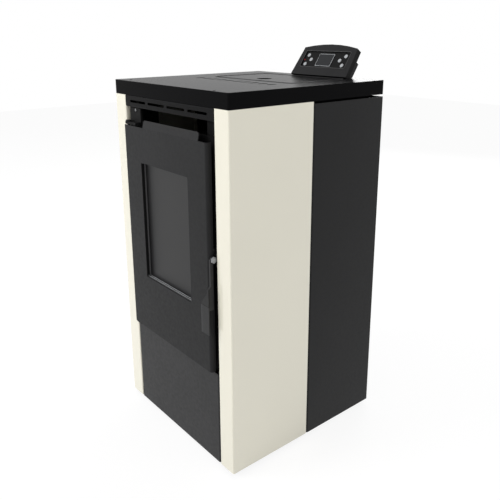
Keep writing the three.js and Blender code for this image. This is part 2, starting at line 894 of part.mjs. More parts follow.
const flueX = (smokeFanX + smokeFanRight) / 2;
const scrollLow = smokeFanZ - smokeScrollStart - smokeScrollGrowth;
const flueZ = scrollLow + smokeOutletHeight / 2;
const rockerZ = inletZ + rockerRise;
const socketZ = inletZ - socketDrop;

function backPanel() {
  const half = halfWidth - casingSheet - bendRadius;
  const sheet = facing(
    roundRect(-half, half, casingBottom, skirtBottom - rearPanelDrop, 1),
    backPanelFront, backPanelRear, 1,
  );
  const through = (shape, segments) => facing(shape, backPanelFront - 1, backPanelRear + 1, segments);
  const holes = [
    through(disc(flueX, flueZ, flueDiameter - 2 * flueWall), 6),
    through(disc(airPipeX, airAxisZ, airPipe + 2 * fitGap), 6),
    through(roundRect(
      inletX - inletWidth / 2, inletX + inletWidth / 2,
      inletZ - inletHeight / 2, inletZ + inletHeight / 2, 1,
    ), 1),
  ];
  for (let i = 0; i < louvreCount; i += 1) {
    holes.push(through(slot(hopperX, louvreBottom + i * louvrePitch, louvreLength, louvreHeight), 1));
  }
  return cut(sheet, ...holes);
}

carry(casing, "base_pan", pan(), blackPaint);
for (const [where, x, y] of [
  ["front_left", -footX, footFrontY],
  ["front_right", footX, footFrontY],
  ["rear_left", -footX, footRearY],
  ["rear_right", footX, footRearY],
]) {
  carry(groupAt(x, y, 0), `foot_${where}`, foot(), zinc);
}
carry(casing, "cream_panel_left", panel(mirrored(creamPath()), skirtBottom - fitGap), creamPaint);
carry(casing, "cream_panel_right", panel(creamPath(), skirtBottom - fitGap), creamPaint);
const rearTop = skirtBottom - rearPanelDrop;
carry(casing, "rear_side_panel_left", panel(mirrored(rearSidePath()), rearTop), blackPaint);
carry(casing, "rear_side_panel_right", panel(rearSidePath(), rearTop), blackPaint);
carry(casing, "inner_frame_left", chassisFrame(-1), blackPaint);
carry(casing, "inner_frame_right", chassisFrame(1), blackPaint);
carry(casing, "back_panel", backPanel(), blackPaint);
carry(casing, "top_plate", topPlate(), topPaint);
carry(casing, "lower_front_panel", lowerPanel(), doorPaint);
carry(casing, "front_grille", grille(), blackPaint);

// ---------------------------------------------------------------- hopper and lid

const feedTurn = THREE.MathUtils.degToRad(feedAngle);
const feed = groupAt(hopperX, feedLowY, feedLowZ, feedTurn);
feed.updateMatrix();
const intoFeed = feed.matrix.clone().invert();

// A cylinder along the auger's axis, in the casing's coordinates.
function feedBore(diameter, from, to, segments = 24) {
  const geometry = new THREE.CylinderGeometry(diameter / 2, diameter / 2, to - from, segments)
    .rotateX(Math.PI / 2)
    .translate(0, 0, (from + to) / 2);
  return solid(geometry.applyMatrix4(feed.matrix));
}

function augerPoint(along) {
  return [feedLowY - along * Math.sin(feedTurn), feedLowZ + along * Math.cos(feedTurn)];
}

const inletAlong = feedLength * inletShare;
const [neckY] = augerPoint(inletAlong);

function hopper() {
  const t = hopperSheet;
  const neck = [
    hopperX - hopperNeckX / 2, hopperX + hopperNeckX / 2, neckY - hopperNeckY / 2, neckY + hopperNeckY / 2,
  ];
  const grown = ([x0, x1, y0, y1]) => [x0 - t, x1 + t, y0 - t, y1 + t];
  const walls = [mouth.x0, mouth.x1, mouth.y0, mouth.y1];
  const flangeLip = standing(
    roundRect(
      lidLeft - hopperFlange, lidRight + hopperFlange,
      lidFrontY - hopperFlange, lidRearY + hopperFlange, lidCorner,
    ),
    plateUnderside - fitGap - t, plateUnderside - fitGap, 3,
  );
  const tank = (rect, neckRect, top) => join(
    block(...rect, hopperFunnelTop, top),
    taper(neckRect, hopperFunnelBottom, rect, hopperFunnelTop),
    block(...neckRect, feedLowZ, hopperFunnelBottom),
  );
  const outer = join(tank(grown(walls), grown(neck), plateUnderside - fitGap), flangeLip);
  return cut(
    outer,
    tank(walls, neck, casingTop),
    feedBore(augerTube + 2 * fitGap, -feedLength, 2 * feedLength),
    block(-halfWidth, halfWidth, frontY, backY, 0, feedLowZ + 1),
  ).decompose().sort((a, b) => b.volume() - a.volume())[0];
}

const lidPivot = [lidRearY, casingTop + lidPivotRise];

function lid() {
  const plate = standing(
    roundRect(lidLeft, lidRight, lidFrontY, lidRearY, lidCorner), plateUnderside, casingTop,
  );
  const inset = fitGap + lidSkirtSheet / 2 + lidSkirtPlay;
  const skirt = (grow) => roundRect(
    mouth.x0 + inset - grow, mouth.x1 - inset + grow, mouth.y0 + inset - grow, mouth.y1 - inset + grow,
    lidSkirtCorner,
  );
  const skirtRing = cut(
    standing(skirt(lidSkirtSheet / 2), plateUnderside - lidSkirtDepth, plateUnderside + 0.5, 2),
    standing(skirt(-lidSkirtSheet / 2), plateUnderside - lidSkirtDepth - 1, plateUnderside, 2),
  );
  const hole = standing(
    disc(hopperX + fingerHoleShift, lidFrontY + fingerHoleBack, fingerHole),
    plateUnderside - 1, casingTop + 1, 5,
  );
  return cut(join(plate, skirtRing), hole);
}

carry(casing, "hopper_tank", hopper(), zinc);
carryShifted(groupAt(0, lidPivot[0], lidPivot[1]), "hopper_lid", lid(), topPaint);

// ---------------------------------------------------------------- pellet feed

const boreRadius = augerTube / 2 - augerTubeWall;
const outletAlong = feedLength - outletLength / 2 - outletMargin;
const chuteTurn = THREE.MathUtils.degToRad(chuteAngle);
const [chuteY, chuteZ] = augerPoint(outletAlong);

function tubeOfFeed() {
  const outer = standing(disc(0, 0, augerTube), 0, feedLength, 6);
  const half = gearboxSide / 2;
  const flange = standing(roundRect(-half, half, -half, half, feedPlateCorner), 0, tubeEnd, 2);
  const bore = standing(disc(0, 0, 2 * boreRadius), tubeEnd, feedLength - tubeEnd, 6);
  const shaftHole = standing(disc(0, 0, augerShaft + 2 * fitGap), -1, feedLength + 1, 3);
  const fall = block(
    hopperX - hopperNeckX / 2, hopperX + hopperNeckX / 2,
    neckY - hopperNeckY / 2, neckY + hopperNeckY / 2, feedLowZ, hopperFunnelTop,
  );
  const drop = block(
    hopperX - chuteWidth / 2 + chuteSheet, hopperX + chuteWidth / 2 - chuteSheet,
    chuteY - outletLength / 2.4, chuteY + outletLength / 2.4, chuteZ - 2 * augerTube, chuteZ,
  );
  // The hopper stands over the upper side of the tube, the outlet is under it.
  const upperHalf = block(-augerTube, augerTube, 0, augerTube, -feedLength, 2 * feedLength);
  const fromWorld = (body) => transformed(body, intoFeed);
  return cut(join(outer, flange), bore, shaftHole, fromWorld(fall).intersect(upperHalf), fromWorld(drop));
}

// A solid moved by a matrix.
function transformed(body, matrix) {
  const { vertProperties, triVerts } = body.getMesh();
  const geometry = new THREE.BufferGeometry();
  geometry.setAttribute("position", new THREE.Float32BufferAttribute(vertProperties, 3));
  geometry.setIndex([...triVerts]);
  return solid(geometry.applyMatrix4(matrix));
}

// The helical flight: a rectangle of the flight's section carried round the shaft.
function auger() {
  const from = tubeEnd + flightGap;
  const to = feedLength - tubeEnd - flightGap;
  const turns = (to - from - augerFlight) / augerPitch;
  const steps = Math.round(turns * 10);
  const radii = [augerShaft / 2 - 2, boreRadius - augerClearance];
  const points = [];
  for (let i = 0; i <= steps; i += 1) {
    const angle = (2 * Math.PI * turns * i) / steps;
    const low = from + ((to - from - augerFlight) * i) / steps;
    for (const [radius, height] of [
      [radii[0], low], [radii[1], low], [radii[1], low + augerFlight], [radii[0], low + augerFlight],
    ]) {
      points.push(radius * Math.cos(angle), radius * Math.sin(angle), height);
    }
  }
  const faces = [0, 1, 2, 0, 2, 3];
  for (let i = 0; i < steps; i += 1) {
    for (let k = 0; k < 4; k += 1) {
      const a = 4 * i + k;
      const b = 4 * i + ((k + 1) % 4);
      faces.push(a, a + 4, b, b, a + 4, b + 4);
    }
  }
  const last = 4 * steps;
  faces.push(last, last + 2, last + 1, last, last + 3, last + 2);
  const geometry = new THREE.BufferGeometry();
  geometry.setAttribute("position", new THREE.Float32BufferAttribute(points, 3));
  geometry.setIndex(faces);
  let flight = solid(geometry);
  if (flight.volume() < 0) {
    geometry.setIndex(faces.map((_, i) => faces[i - (i % 3) + ((3 - (i % 3)) % 3)]));
    flight = solid(geometry);
  }
  const shaft = standing(disc(0, 0, augerShaft), -augerStub, feedLength - 1, 3);
  return join(shaft, flight);
}

function gearmotor() {
  const half = gearboxSide / 2;
  const far = -fitGap - gearboxLength;
  const box = standing(roundRect(-half, half, -half, half, feedPlateCorner), far, -fitGap, 2);
  const motor = standing(disc(0, 0, feedMotor), far - feedMotorLength, far + 1, 5);
  const [rimFar, rimNear] = feedMotorRimPlaces;
  const rim = standing(disc(0, 0, feedMotor + feedMotorRim), far - rimFar, far - rimNear, 5);
  const socket = standing(disc(0, 0, augerShaft + 2 * fitGap), -augerStub - socketPlay, 1, 3);
  return cut(join(box, motor, rim), socket);
}

// The chute's outline, grown by a margin, as a slanted prism from the tube to inside the firebox.
function chutePrism(margin) {
  const reach = 3 * chuteHeight;
  const geometry = new THREE.BoxGeometry(
    chuteWidth + 2 * margin, 4 * reach, chuteHeight + 2 * margin,
  ).rotateX(chuteTurn).translate(hopperX, chuteY, chuteZ);
  return solid(geometry);
}

function chute() {
  const room = block(
    -halfWidth, halfWidth, chuteEndY, chuteY + outletLength / 2.6, fireboxBottom, chuteZ,
  );
  return cut(
    chutePrism(0).intersect(room),
    chutePrism(-chuteSheet),
    feedBore(augerTube + 2 * fitGap, -feedLength, feedLength + fitGap),
  ).decompose().sort((a, b) => b.volume() - a.volume())[0];
}

carry(feed, "auger_tube", tubeOfFeed(), zinc);
carry(feed, "auger_screw", auger(), steel);
carry(feed, "auger_gearmotor", gearmotor(), steel);
carry(casing, "pellet_chute", chute(), steel);

// ---------------------------------------------------------------- firebox

const fire = groupAt(0, 0, 0);
const shelfHalf = fireInner - shelfClear;
const smokeWindowTop = fireRoof - smokeWindowGap;
const smokeWindow = [
  smokeDuctFrontY + smokeWindowInset, smokeDuctFrontY + smokeDuctWidth - smokeWindowInset,
  smokeWindowTop - smokeWindowHeight, smokeWindowTop,
];

function firebox() {
  const shell = cut(
    block(-fireHalf, fireHalf, flangeRear - 1, fireboxRearY, fireboxBottom, fireboxTop),
    block(-fireInner, fireInner, flangeRear - 2, fireRearInner, fireFloor, fireRoof),
  );
  const flange = facing(
    withHoles(
      roundRect(-flangeHalf, flangeHalf, flangeBottom, flangeTop, 2),
      roundRect(-fireInner, fireInner, fireFloor, fireRoof, 0.5),
    ),
    flangeFront, flangeRear, 1,
  );
  const ledges = [];
  for (const side of [-1, 1]) {
    const x0 = Math.min(side * ledgeInner, side * (fireInner + 1));
    const x1 = Math.max(side * ledgeInner, side * (fireInner + 1));
    for (const top of [shelfLedgeTop, baffleLedgeTop]) {
      ledges.push(block(
        x0, x1, flangeRear + ledgeFrontGap, fireRearInner - ledgeRearGap, top - ledgeHeight, top,
      ));
    }
  }
  const [y0, y1, z0, z1] = smokeWindow;
  return cut(
    join(shell, flange, ...ledges),
    chutePrism(fitGap),
    facing(disc(airPipeX, airAxisZ, airPipe - 2 * airPipeWall), fireRearInner - 1, fireboxRearY + 1, 5),
    facing(disc(igniterX, airAxisZ, igniterDiameter + 2 * fitGap), fireRearInner - 1, fireboxRearY + 1, 3),
    block(-fireHalf - 1, -fireInner + 1, y0, y1, z0, z1),
  );
}

const firebackRear = fireRearInner - fitGap;
const firebackFace = firebackRear - firebackThickness;

function fireback() {
  const low = shelfTop + fitGap;
  const high = baffleLedgeTop - fitGap;
  // It stands between the ledges that carry the shelf and the baffle.
  const plate = block(-firebackHalf, firebackHalf, firebackFace, firebackRear, low, high);
  const ribs = [];
  for (let i = 0; i < firebackRibCount; i += 1) {
    const x = (firebackHalf - firebackRibMargin) * ((2 * i) / (firebackRibCount - 1) - 1);
    const section = polygon([
      [x - firebackRib, firebackFace + 0.5],
      [x - firebackRib / 2, firebackFace - firebackRib],
      [x + firebackRib / 2, firebackFace - firebackRib],
      [x + firebackRib, firebackFace + 0.5],
    ]);
    ribs.push(standing(section, low + firebackRibMargin, high - firebackRibMargin));
  }
  return cut(join(plate, ...ribs), chutePrism(1));
}

function baffle() {
  const z = baffleLedgeTop + fitGap;
  const front = polygon([
    [-shelfHalf, flangeRear + baffleFrontGap], [shelfHalf, flangeRear + baffleFrontGap],
    [shelfHalf, firebackRear], [-shelfHalf, firebackRear],
  ]);
  const notch = roundRect(
    -fireHalf, baffleNotchDepth - shelfHalf,
    smokeDuctFrontY + baffleNotchInset, smokeDuctFrontY + smokeDuctWidth - baffleNotchInset,
    baffleNotchCorner,
  );
  return cut(standing(front, z, z + baffleThickness, 1), standing(notch, z - 1, z + baffleThickness + 1, 2));
}

function potHolder() {
  const front = flangeRear + shelfFrontGap;
  const rear = firebackRear;
  const shelf = block(-shelfHalf, shelfHalf, front, rear, shelfBottom, shelfTop);
  const boxFront = potY - potTop / 2 - airBoxSheet - 2 * potPlay;
  const boxOuter = block(airBoxLeft, airBoxRight, boxFront, rear, airBoxBottom, shelfBottom + 1);
  const boxInner = block(
    airBoxLeft + airBoxSheet, airBoxRight - airBoxSheet, boxFront + airBoxSheet, rear + 1,
    airBoxBottom + airBoxSheet, shelfBottom,
  );
  const potOpening = block(...square(0, potY, potTop + 2 * potPlay), shelfBottom - airBoxSheet, shelfTop + 1);
  const windows = [];
  for (const [x0, x1] of [
    [ashWindowGap - ledgeInner, airBoxLeft - ashWindowGap],
    [airBoxRight + 2 * ashWindowGap, ledgeInner - ashWindowGap],
  ]) {
    const shape = roundRect(x0, x1, boxFront, potY + ashWindowBehind, 2);
    windows.push(standing(shape, shelfBottom - 1, shelfTop + 1, 2));
  }
  return cut(join(shelf, boxOuter), boxInner, potOpening, ...windows);
}

function burnPot() {
  const rimBottom = shelfTop + fitGap;
  const low = rimBottom - potDepth;
  const cup = join(
    block(...square(0, potY, potTop + 2 * potRim), rimBottom, rimBottom + potRimHeight),
    taper(square(0, potY, potBottom), low, square(0, potY, potTop), rimBottom + 1),
  );
  const hollow = taper(
    square(0, potY, potBottom - 2 * potWall), low + potWall,
    square(0, potY, potTop - 2 * potWall), rimBottom + potRimHeight + 1,
  );
  const holes = [];
  for (const x of [-potHolePitch, 0, potHolePitch]) {
    for (const y of [-potHolePitch, 0, potHolePitch]) {
      holes.push(standing(disc(x, potY + y, potHole), low - 1, low + potWall + 1, 1));
    }
    const side = disc(x, low + potDepth / 2, potSideHole);
    holes.push(facing(side, potY - potTop, potY + potTop, 1));
  }
  return cut(cup, hollow, ...holes);
}

function ashDrawer() {
  const low = fireFloor + fitGap;
  const half = drawerWidth / 2;
  const rear = drawerRearY;
  const tray = cut(
    block(-half, half, drawerFrontY, rear, low, low + drawerHeight),
    block(
      -half + drawerSheet, half - drawerSheet, drawerFrontY + drawerSheet, rear - drawerSheet,
      low + drawerSheet, low + drawerHeight + 1,
    ),
  );
  const pullZ = low + drawerHeight - drawerPullDrop;
  const profile = [
    [drawerFrontY + drawerSheet / 2, pullZ],
    [drawerFrontY - drawerPull, pullZ],
    [drawerFrontY - drawerPull, pullZ - drawerPullLip],
  ];
  const section = foldedSheet(profile, drawerSheet, drawerPullBend, 2);
  const pull = sideways(section, -drawerPullHalf, drawerPullHalf);
  return join(tray, pull);
}

function igniter() {
  const tip = potY + potTop / 2 + igniterTipGap;
  const rod = facing(disc(igniterX, airAxisZ, igniterDiameter), tip, fireboxRearY + igniterTail, 3);
  const collar = facing(
    disc(igniterX, airAxisZ, igniterCollar), fireboxRearY + fitGap, fireboxRearY + igniterCollarEnd, 4,
  );
  return join(rod, collar);
}

function airInlet() {
  const front = fireboxRearY + fitGap;
  const rear = backY + airPipeStickOut;
  const tube = facing(disc(airPipeX, airAxisZ, airPipe), front, rear, 5);
  const bead = facing(
    disc(airPipeX, airAxisZ, airPipe + pipeBead), rear - pipeBeadEnd - pipeBead, rear - pipeBeadEnd, 5,
  );
  const flange = facing(roundRect(
    airPipeX - airPipeFlange / 2, airPipeX + airPipeFlange / 2,
    airAxisZ - airPipeFlange / 2, airAxisZ + airPipeFlange / 2, pipeFlangeCorner,
  ), front, front + airPipeFlangeThickness, 2);
  const bore = facing(disc(airPipeX, airAxisZ, airPipe - 2 * airPipeWall), front - 1, rear + 1, 5);
  return cut(join(tube, bead, flange), bore);
}

carry(fire, "firebox", firebox(), blackPaint);
carry(fire, "fireback_plate", fireback(), castIron);
carry(fire, "baffle_plate", baffle(), mineral);
carry(fire, "burn_pot_holder", potHolder(), steel);
carry(fire, "burn_pot", burnPot(), castIron);
carry(fire, "ash_drawer", ashDrawer(), steel);
carry(fire, "igniter", igniter(), ceramic);
carry(fire, "air_inlet_pipe", airInlet(), zinc);

// ---------------------------------------------------------------- fire door

const door = groupAt(hingeX, hingeY, 0);
const inDoor = (name, body, material) => carryShifted(door, name, body, material);
const windowRect = [windowLeft, windowRight, windowBottom, windowTop];

function doorPanel() {
  const middle = doorSheet / 2;
  const path = [
    [doorLeft, doorFace + middle],
    [doorRight - middle, doorFace + middle],
    [doorRight - middle, doorFace + doorReturn],
  ];
  const skin = standing(foldedSheet(path, doorSheet, doorBend, 4), doorBottom, doorTop);
  const lean = THREE.MathUtils.degToRad(lipLean);
  const lipProfile = [
    [doorFace + middle, doorTop - lipRoot],
    [doorFace + middle, doorTop],
    [doorFace + middle + lipLength * Math.sin(lean), doorTop + lipLength * Math.cos(lean)],
  ];
  const lipShape = roundRect(lipLeft, lipRight, windowTop, doorTop + lipLength, lipCorner);
  const lip = sideways(foldedSheet(lipProfile, doorSheet, 2, 2), lipLeft, lipRight)
    .intersect(facing(lipShape, doorFace - 1, flangeRear, 3));
  const boltHole = sideways(
    disc(pivotY, pivotZ, pivotBolt + 2 * fitGap), doorRight - doorReturn, doorRight + 1, 3,
  );
  const window = facing(roundRect(...windowRect, windowCorner), doorFace - 1, doorBack + 1, 2);
  return cut(join(skin, lip), window, boltHole);
}

function doorFrame() {
  const outer = [-doorFrameHalf, doorFrameHalf, doorFrameLow, doorFrameHigh];
  const plate = facing(
    frameShape(outer, windowRect, doorFrameCorner, windowCorner), doorFrameFront, doorFrameRear, 1,
  );
  const grooveRing = frameShape(
    [-gasketHalf - grooveHalf, gasketHalf + grooveHalf, gasketLow - grooveHalf, gasketHigh + grooveHalf],
    [-gasketHalf + grooveHalf, gasketHalf - grooveHalf, gasketLow + grooveHalf, gasketHigh - grooveHalf],
    gasketCorner + grooveHalf, gasketCorner - grooveHalf,
  );
  const groove = facing(grooveRing, doorFrameRear - gasketSink - fitGap, doorFrameRear + 1, 2);
  const ears = [];
  const holes = [];
  for (const z of [doorFrameLow + hingeEarInset, doorFrameHigh - hingeEarInset - hingeEarHeight]) {
    ears.push(standing(disc(hingeX, hingeY, 2 * hingeEarRadius), z, z + hingeEarHeight, 3));
    ears.push(block(
      hingeX - hingeEarRadius, hingeEarRoot - doorFrameHalf, doorFrameFront, hingeY, z, z + hingeEarHeight,
    ));
    holes.push(standing(disc(hingeX, hingeY, hingePin + 2 * fitGap), z - 1, z + hingeEarHeight + 1, 3));
  }
  // The ear's block is trimmed so that it passes the firebox flange.
  const trim = block(-doorFrameHalf + 0.01, 0, doorFrameRear, flangeRear, doorFrameLow, doorFrameHigh);
  const inner = block(
    hingeX + hingeEarRadius, hingeEarRoot + 1 - doorFrameHalf, doorFrameRear, flangeRear,
    doorFrameLow, doorFrameHigh,
  );
  const boss = block(
    doorFrameHalf - 2, doorFrameHalf + doorBoss, doorFrameFront, doorFrameRear,
    pivotZ - doorBossHalf, pivotZ + doorBossHalf,
  );
  const boltSeat = sideways(
    disc(pivotY, pivotZ, pivotBolt + 2 * fitGap), doorFrameHalf - 1, doorFrameHalf + doorBoss + 1, 3,
  );
  return cut(join(plate, ...ears, boss), groove, ...holes, trim, inner, boltSeat);
}

const glassRect = [
  windowLeft - glassOverlap, windowRight + glassOverlap,
  windowBottom - glassOverlap, windowTop + glassOverlap,
];

function grownRect([x0, x1, y0, y1], margin) {
  return [x0 - margin, x1 + margin, y0 - margin, y1 + margin];
}

function retainer() {
  const outer = grownRect(glassRect, fitGap + retainerRim);
  const rim = facing(
    frameShape(outer, grownRect(glassRect, fitGap), retainerCorner, glassCorner),
    doorFrameRear + fitGap, retainerFront + 0.5, 1,
  );
  const face = facing(
    frameShape(outer, grownRect(glassRect, -retainerLap), retainerCorner, glassCorner),
    retainerFront, retainerFront + retainerSheet, 1,
  );
  return join(rim, face);
}

// A rope laid round the groove: rings of eight points along the rounded rectangle.
function gasket() {
  const path = roundRect(-gasketHalf, gasketHalf, gasketLow, gasketHigh, gasketCorner);
  const line = path.getPoints(2).map(({ x, y }) => new THREE.Vector3(x, gasketY, y));
  const sides = 8;
  const kept = line.filter((point, i) => i === 0 || point.distanceTo(line[i - 1]) > 0.01);
  if (kept[0].distanceTo(kept[kept.length - 1]) < 0.01) kept.pop();
  const points = [];
  const faces = [];
  const count = kept.length;
  kept.forEach((point, i) => {
    const before = point.clone().sub(kept[(i + count - 1) % count]).normalize();
    const after = kept[(i + 1) % count].clone().sub(point).normalize();
    const along = before.clone().add(after).normalize();
    const across = new THREE.Vector3(-along.z, 0, along.x).multiplyScalar(1 / along.dot(after));
    for (let k = 0; k < sides; k += 1) {
      const angle = ((k + 0.5) * 2 * Math.PI) / sides;
      const radius = gasketDiameter / 2 - fitGap;
      points.push(...point.clone()
        .addScaledVector(across, radius * Math.cos(angle))
        .add(new THREE.Vector3(0, radius * Math.sin(angle), 0)).toArray());
      const a = i * sides + k;
      const b = i * sides + ((k + 1) % sides);
      const c = ((i + 1) % count) * sides + k;
      const d = ((i + 1) % count) * sides + ((k + 1) % sides);
      faces.push(a, b, c, b, d, c);
    }
  });
  const geometry = new THREE.BufferGeometry();
  geometry.setAttribute("position", new THREE.Float32BufferAttribute(points, 3));
  geometry.setIndex(faces);
  const rope = solid(geometry);
  if (rope.volume() > 0) return rope;
  geometry.setIndex(faces.map((_, i) => faces[i - (i % 3) + ((3 - (i % 3)) % 3)]));
  return solid(geometry);
}

const bracketLeft = hingeX - hingeEarRadius - hingeLugMargin;
const bracketFace = flangeFront - fitGap - hingePlateThickness;
const lugFront = hingeY - hingeEarRadius;
const topLugBottom = doorTop + hingeLugGap;
const topLugTop = topLugBottom + hingeLug;

// A lug under the pin's head, an upright plate before the flange and a pad above it, on the frame.
function hingeBracketTop() {
  const right = bracketLeft + hingePlateLength;
  const top = topLugBottom + hingeBracketHeight;
  const rear = flangeFront - fitGap;
  const lug = block(bracketLeft, right, lugFront, rear, topLugBottom, topLugTop);
  const plate = block(bracketLeft, right, bracketFace, rear, topLugBottom, top);
  const pad = block(bracketLeft, right, bracketFace, frameFront - fitGap, flangeTop + fitGap, top);
  const hole = standing(disc(hingeX, hingeY, hingePin + 2 * fitGap), topLugBottom - 1, topLugTop + 1);
  return cut(join(lug, plate, pad), hole);
}

function hingePinTop() {
  const low = doorFrameHigh - hingeEarInset - hingeEarHeight;
  const top = topLugTop + fitGap;
  const shank = standing(disc(hingeX, hingeY, hingePin), low, top + 1);
  const head = standing(disc(hingeX, hingeY, hingePinHead), top, top + hingePinHeadHeight);
  return join(shank, head);
}

function hingeBracketBottom() {
  const top = doorBottom - hingeLugGap / 2;
  const low = lowerPanelTop + fitGap;
  const rear = flangeFront - fitGap;
  const lug = block(bracketLeft, bracketLeft + hingePlateLength / 2, lugFront, rear, low, top);
  const plate = block(
    bracketLeft, bracketLeft + hingePlateLength / 2, bracketFace, rear, low, low + hingeBracketHeight,
  );
  const studTop = doorFrameLow + hingeEarInset + hingeEarHeight;
  const stud = standing(disc(hingeX, hingeY, hingePin), top - 1, studTop);
  return join(lug, plate, stud);
}

inDoor("door_panel", doorPanel(), doorPaint);
inDoor("door_frame", doorFrame(), doorPaint);
inDoor("door_glass", facing(roundRect(...glassRect, glassCorner), glassFront, glassRear, 1), darkGlass);
inDoor("glass_retainer", retainer(), steel);
inDoor("door_gasket", gasket(), rope);
carry(casing, "hinge_bracket_top", hingeBracketTop(), blackPaint);
carry(casing, "hinge_pin_top", hingePinTop(), zinc);
carry(casing, "hinge_bracket_bottom", hingeBracketBottom(), blackPaint);

// Handle: a lever beside the door's edge, with a grip plate before the door and a nose under the keeper.
const lever = groupAt(0, pivotY, pivotZ);

function handle() {
  const x1 = handleX + handleThickness;
  const plate = (points) => sideways(polygon(points), handleX, x1);
  const eye = sideways(disc(pivotY, pivotZ, pivotEye), handleX, x1, 4);
  const bar = plate([
    [leverFront, pivotZ + leverRise],
    [leverFront, gussetTop + gussetRise],
    [gripFront, gussetTop],
    [gripFront, leverBottom],
    [leverRear, leverBottom],
    [leverRear, pivotZ + leverRise],
  ]);
  const noseTop = pivotZ + keeperRise - keeperPin / 2 - noseGap;
  const nose = plate([
    [pivotY, noseTop - noseHeight],
    [noseRear, noseTop - noseHeight + noseTaper],
    [noseRear, noseTop],
    [pivotY, noseTop],
  ]);
  const flag = facing(polygon([
    [x1, gussetTop],
    [gripLeft, gripTop],
    [gripLeft, gripBottom],
    [x1, gripBottom],
  ]), gripFront, gripFront + gripThickness);
  const hem = block(
    gripLeft, gripLeft + gripThickness, gripFront, gripFront + gripHem, gripBottom, gripTop - gripHemDrop,
  );
  const hole = sideways(disc(pivotY, pivotZ, pivotBolt + 2 * fitGap), handleX - 1, x1 + 1, 3);
  return cut(join(eye, bar, nose, flag, hem), hole);
}

function handleBolt() {
  const nutFrom = handleX + handleThickness + fitGap;
  const shank = sideways(disc(pivotY, pivotZ, pivotBolt), doorFrameHalf, nutFrom + 1, 3);
  const nut = solid(new THREE.CylinderGeometry(pivotNut / 2, pivotNut / 2, pivotNutHeight, 6)
    .rotateZ(Math.PI / 2)
    .translate(nutFrom + pivotNutHeight / 2, pivotY, pivotZ));
  const dome = solid(new THREE.CylinderGeometry(pivotNut / 2 - pivotDomeRim, pivotNut / 4, pivotDome, 10)
    .rotateZ(Math.PI / 2)
    .translate(nutFrom + pivotNutHeight + pivotDome / 2, pivotY, pivotZ));
  return join(shank, nut, dome);
}

function keeper() {
  const pinY = pivotY + keeperAhead;
  const pinZ = pivotZ + keeperRise;
  const left = doorFrameHalf + doorBoss + 2 * fitGap;
  const seat = block(
    left, handleX - keeperSideGap, pinY - keeperPin / 2 - keeperRim, flangeFront - fitGap,
    pinZ - keeperDepth / 2, pinZ + keeperDepth / 2,
  );
  const pin = sideways(disc(pinY, pinZ, keeperPin), left + 1, handleX + handleThickness);
  return join(seat, pin);
}

carryShifted(lever, "door_handle", handle(), blackPaint);
carry(casing, "handle_bolt", handleBolt(), silver);
carry(casing, "latch_keeper", keeper(), zinc);

// ---------------------------------------------------------------- smoke extractor and flue

const smoke = groupAt(0, 0, 0);
const scrollEndY = backPanelFront - fitGap;

function scrollShape(inset, endY) {
  const points = [];
  const [first, last] = smokeScrollAngles;
  for (let angle = first; angle <= last; angle += smokeScrollStep) {
    const radius = smokeScrollStart + (smokeScrollGrowth * (angle - smokeScrollLow)) / 360 - inset;
    const turn = THREE.MathUtils.degToRad(angle);
    points.push([smokeFanY + radius * Math.cos(turn), smokeFanZ + radius * Math.sin(turn)]);
  }
  points.push([endY, scrollLow + inset], [endY, scrollLow + smokeOutletHeight - inset]);
  return polygon(points);
}

function smokeHousing() {
  const shell = sideways(scrollShape(0, scrollEndY), smokeFanX, smokeFanRight);
  const hollow = sideways(
    scrollShape(smokeFanWall, scrollEndY + 1), smokeFanX + smokeFanWall, smokeFanRight - smokeFanWall,
  );
  const inlet = sideways(
    disc(smokeFanY, smokeFanZ, smokeInlet), smokeFanX - 1, smokeFanX + smokeFanWall + 1, 6,
  );
  const shaftHole = sideways(
    disc(smokeFanY, smokeFanZ, smokeShaft + 2 * smokeFanWall),
    smokeFanRight - smokeFanWall - 1, smokeFanRight + 1, 3,
  );
  return cut(shell, hollow, inlet, shaftHole);
}

function curvedBlade(inner, outer, thickness, sweep) {
  const steps = bladeSteps;
  const line = [];
  for (let i = 0; i <= steps; i += 1) {
    const radius = inner + ((outer - inner) * i) / steps;
    const turn = THREE.MathUtils.degToRad(sweep) * (i / steps) ** 1.5;
    line.push([radius * Math.cos(turn), radius * Math.sin(turn)]);
  }
  const side = (sign) => line.map(([a, b], i) => {
    const [c, d] = line[Math.min(i + 1, steps)];
    const [e, f] = line[Math.max(i - 1, 0)];
    const long = Math.hypot(c - e, d - f);
    return [a - (sign * thickness * (d - f)) / (2 * long), b + (sign * thickness * (c - e)) / (2 * long)];
  });
  return polygon([...side(-1), ...side(1).reverse()]);
}

function impeller() {
  const back = smokeFanRight - smokeFanWall - impellerGap;
  const plate = sideways(disc(0, 0, impellerDiameter), back - impellerDisc, back, 5);
  const hub = sideways(disc(0, 0, impellerHub), back - impellerWidth + impellerHubSink, back, 3);
  const shaft = sideways(disc(0, 0, smokeShaft), back - impellerWidth, smokeFanRight + smokeShaftReach, 3);
  const blades = [];
  for (let i = 0; i < impellerBlades; i += 1) {
    const shape = curvedBlade(impellerHub / 2 - 1, impellerDiameter / 2 - 1, bladeThickness, bladeSweep);
    const blade = extrude(shape, impellerWidth, 1);
    blade.rotateZ((2 * Math.PI * i) / impellerBlades);
    const turn = new THREE.Matrix4().makeBasis(
      new THREE.Vector3(0, 1, 0), new THREE.Vector3(0, 0, 1), new THREE.Vector3(1, 0, 0),
    );
    blades.push(solid(blade.applyMatrix4(turn).translate(back - impellerWidth, 0, 0)));
  }
  return join(plate, hub, shaft, ...blades);
}

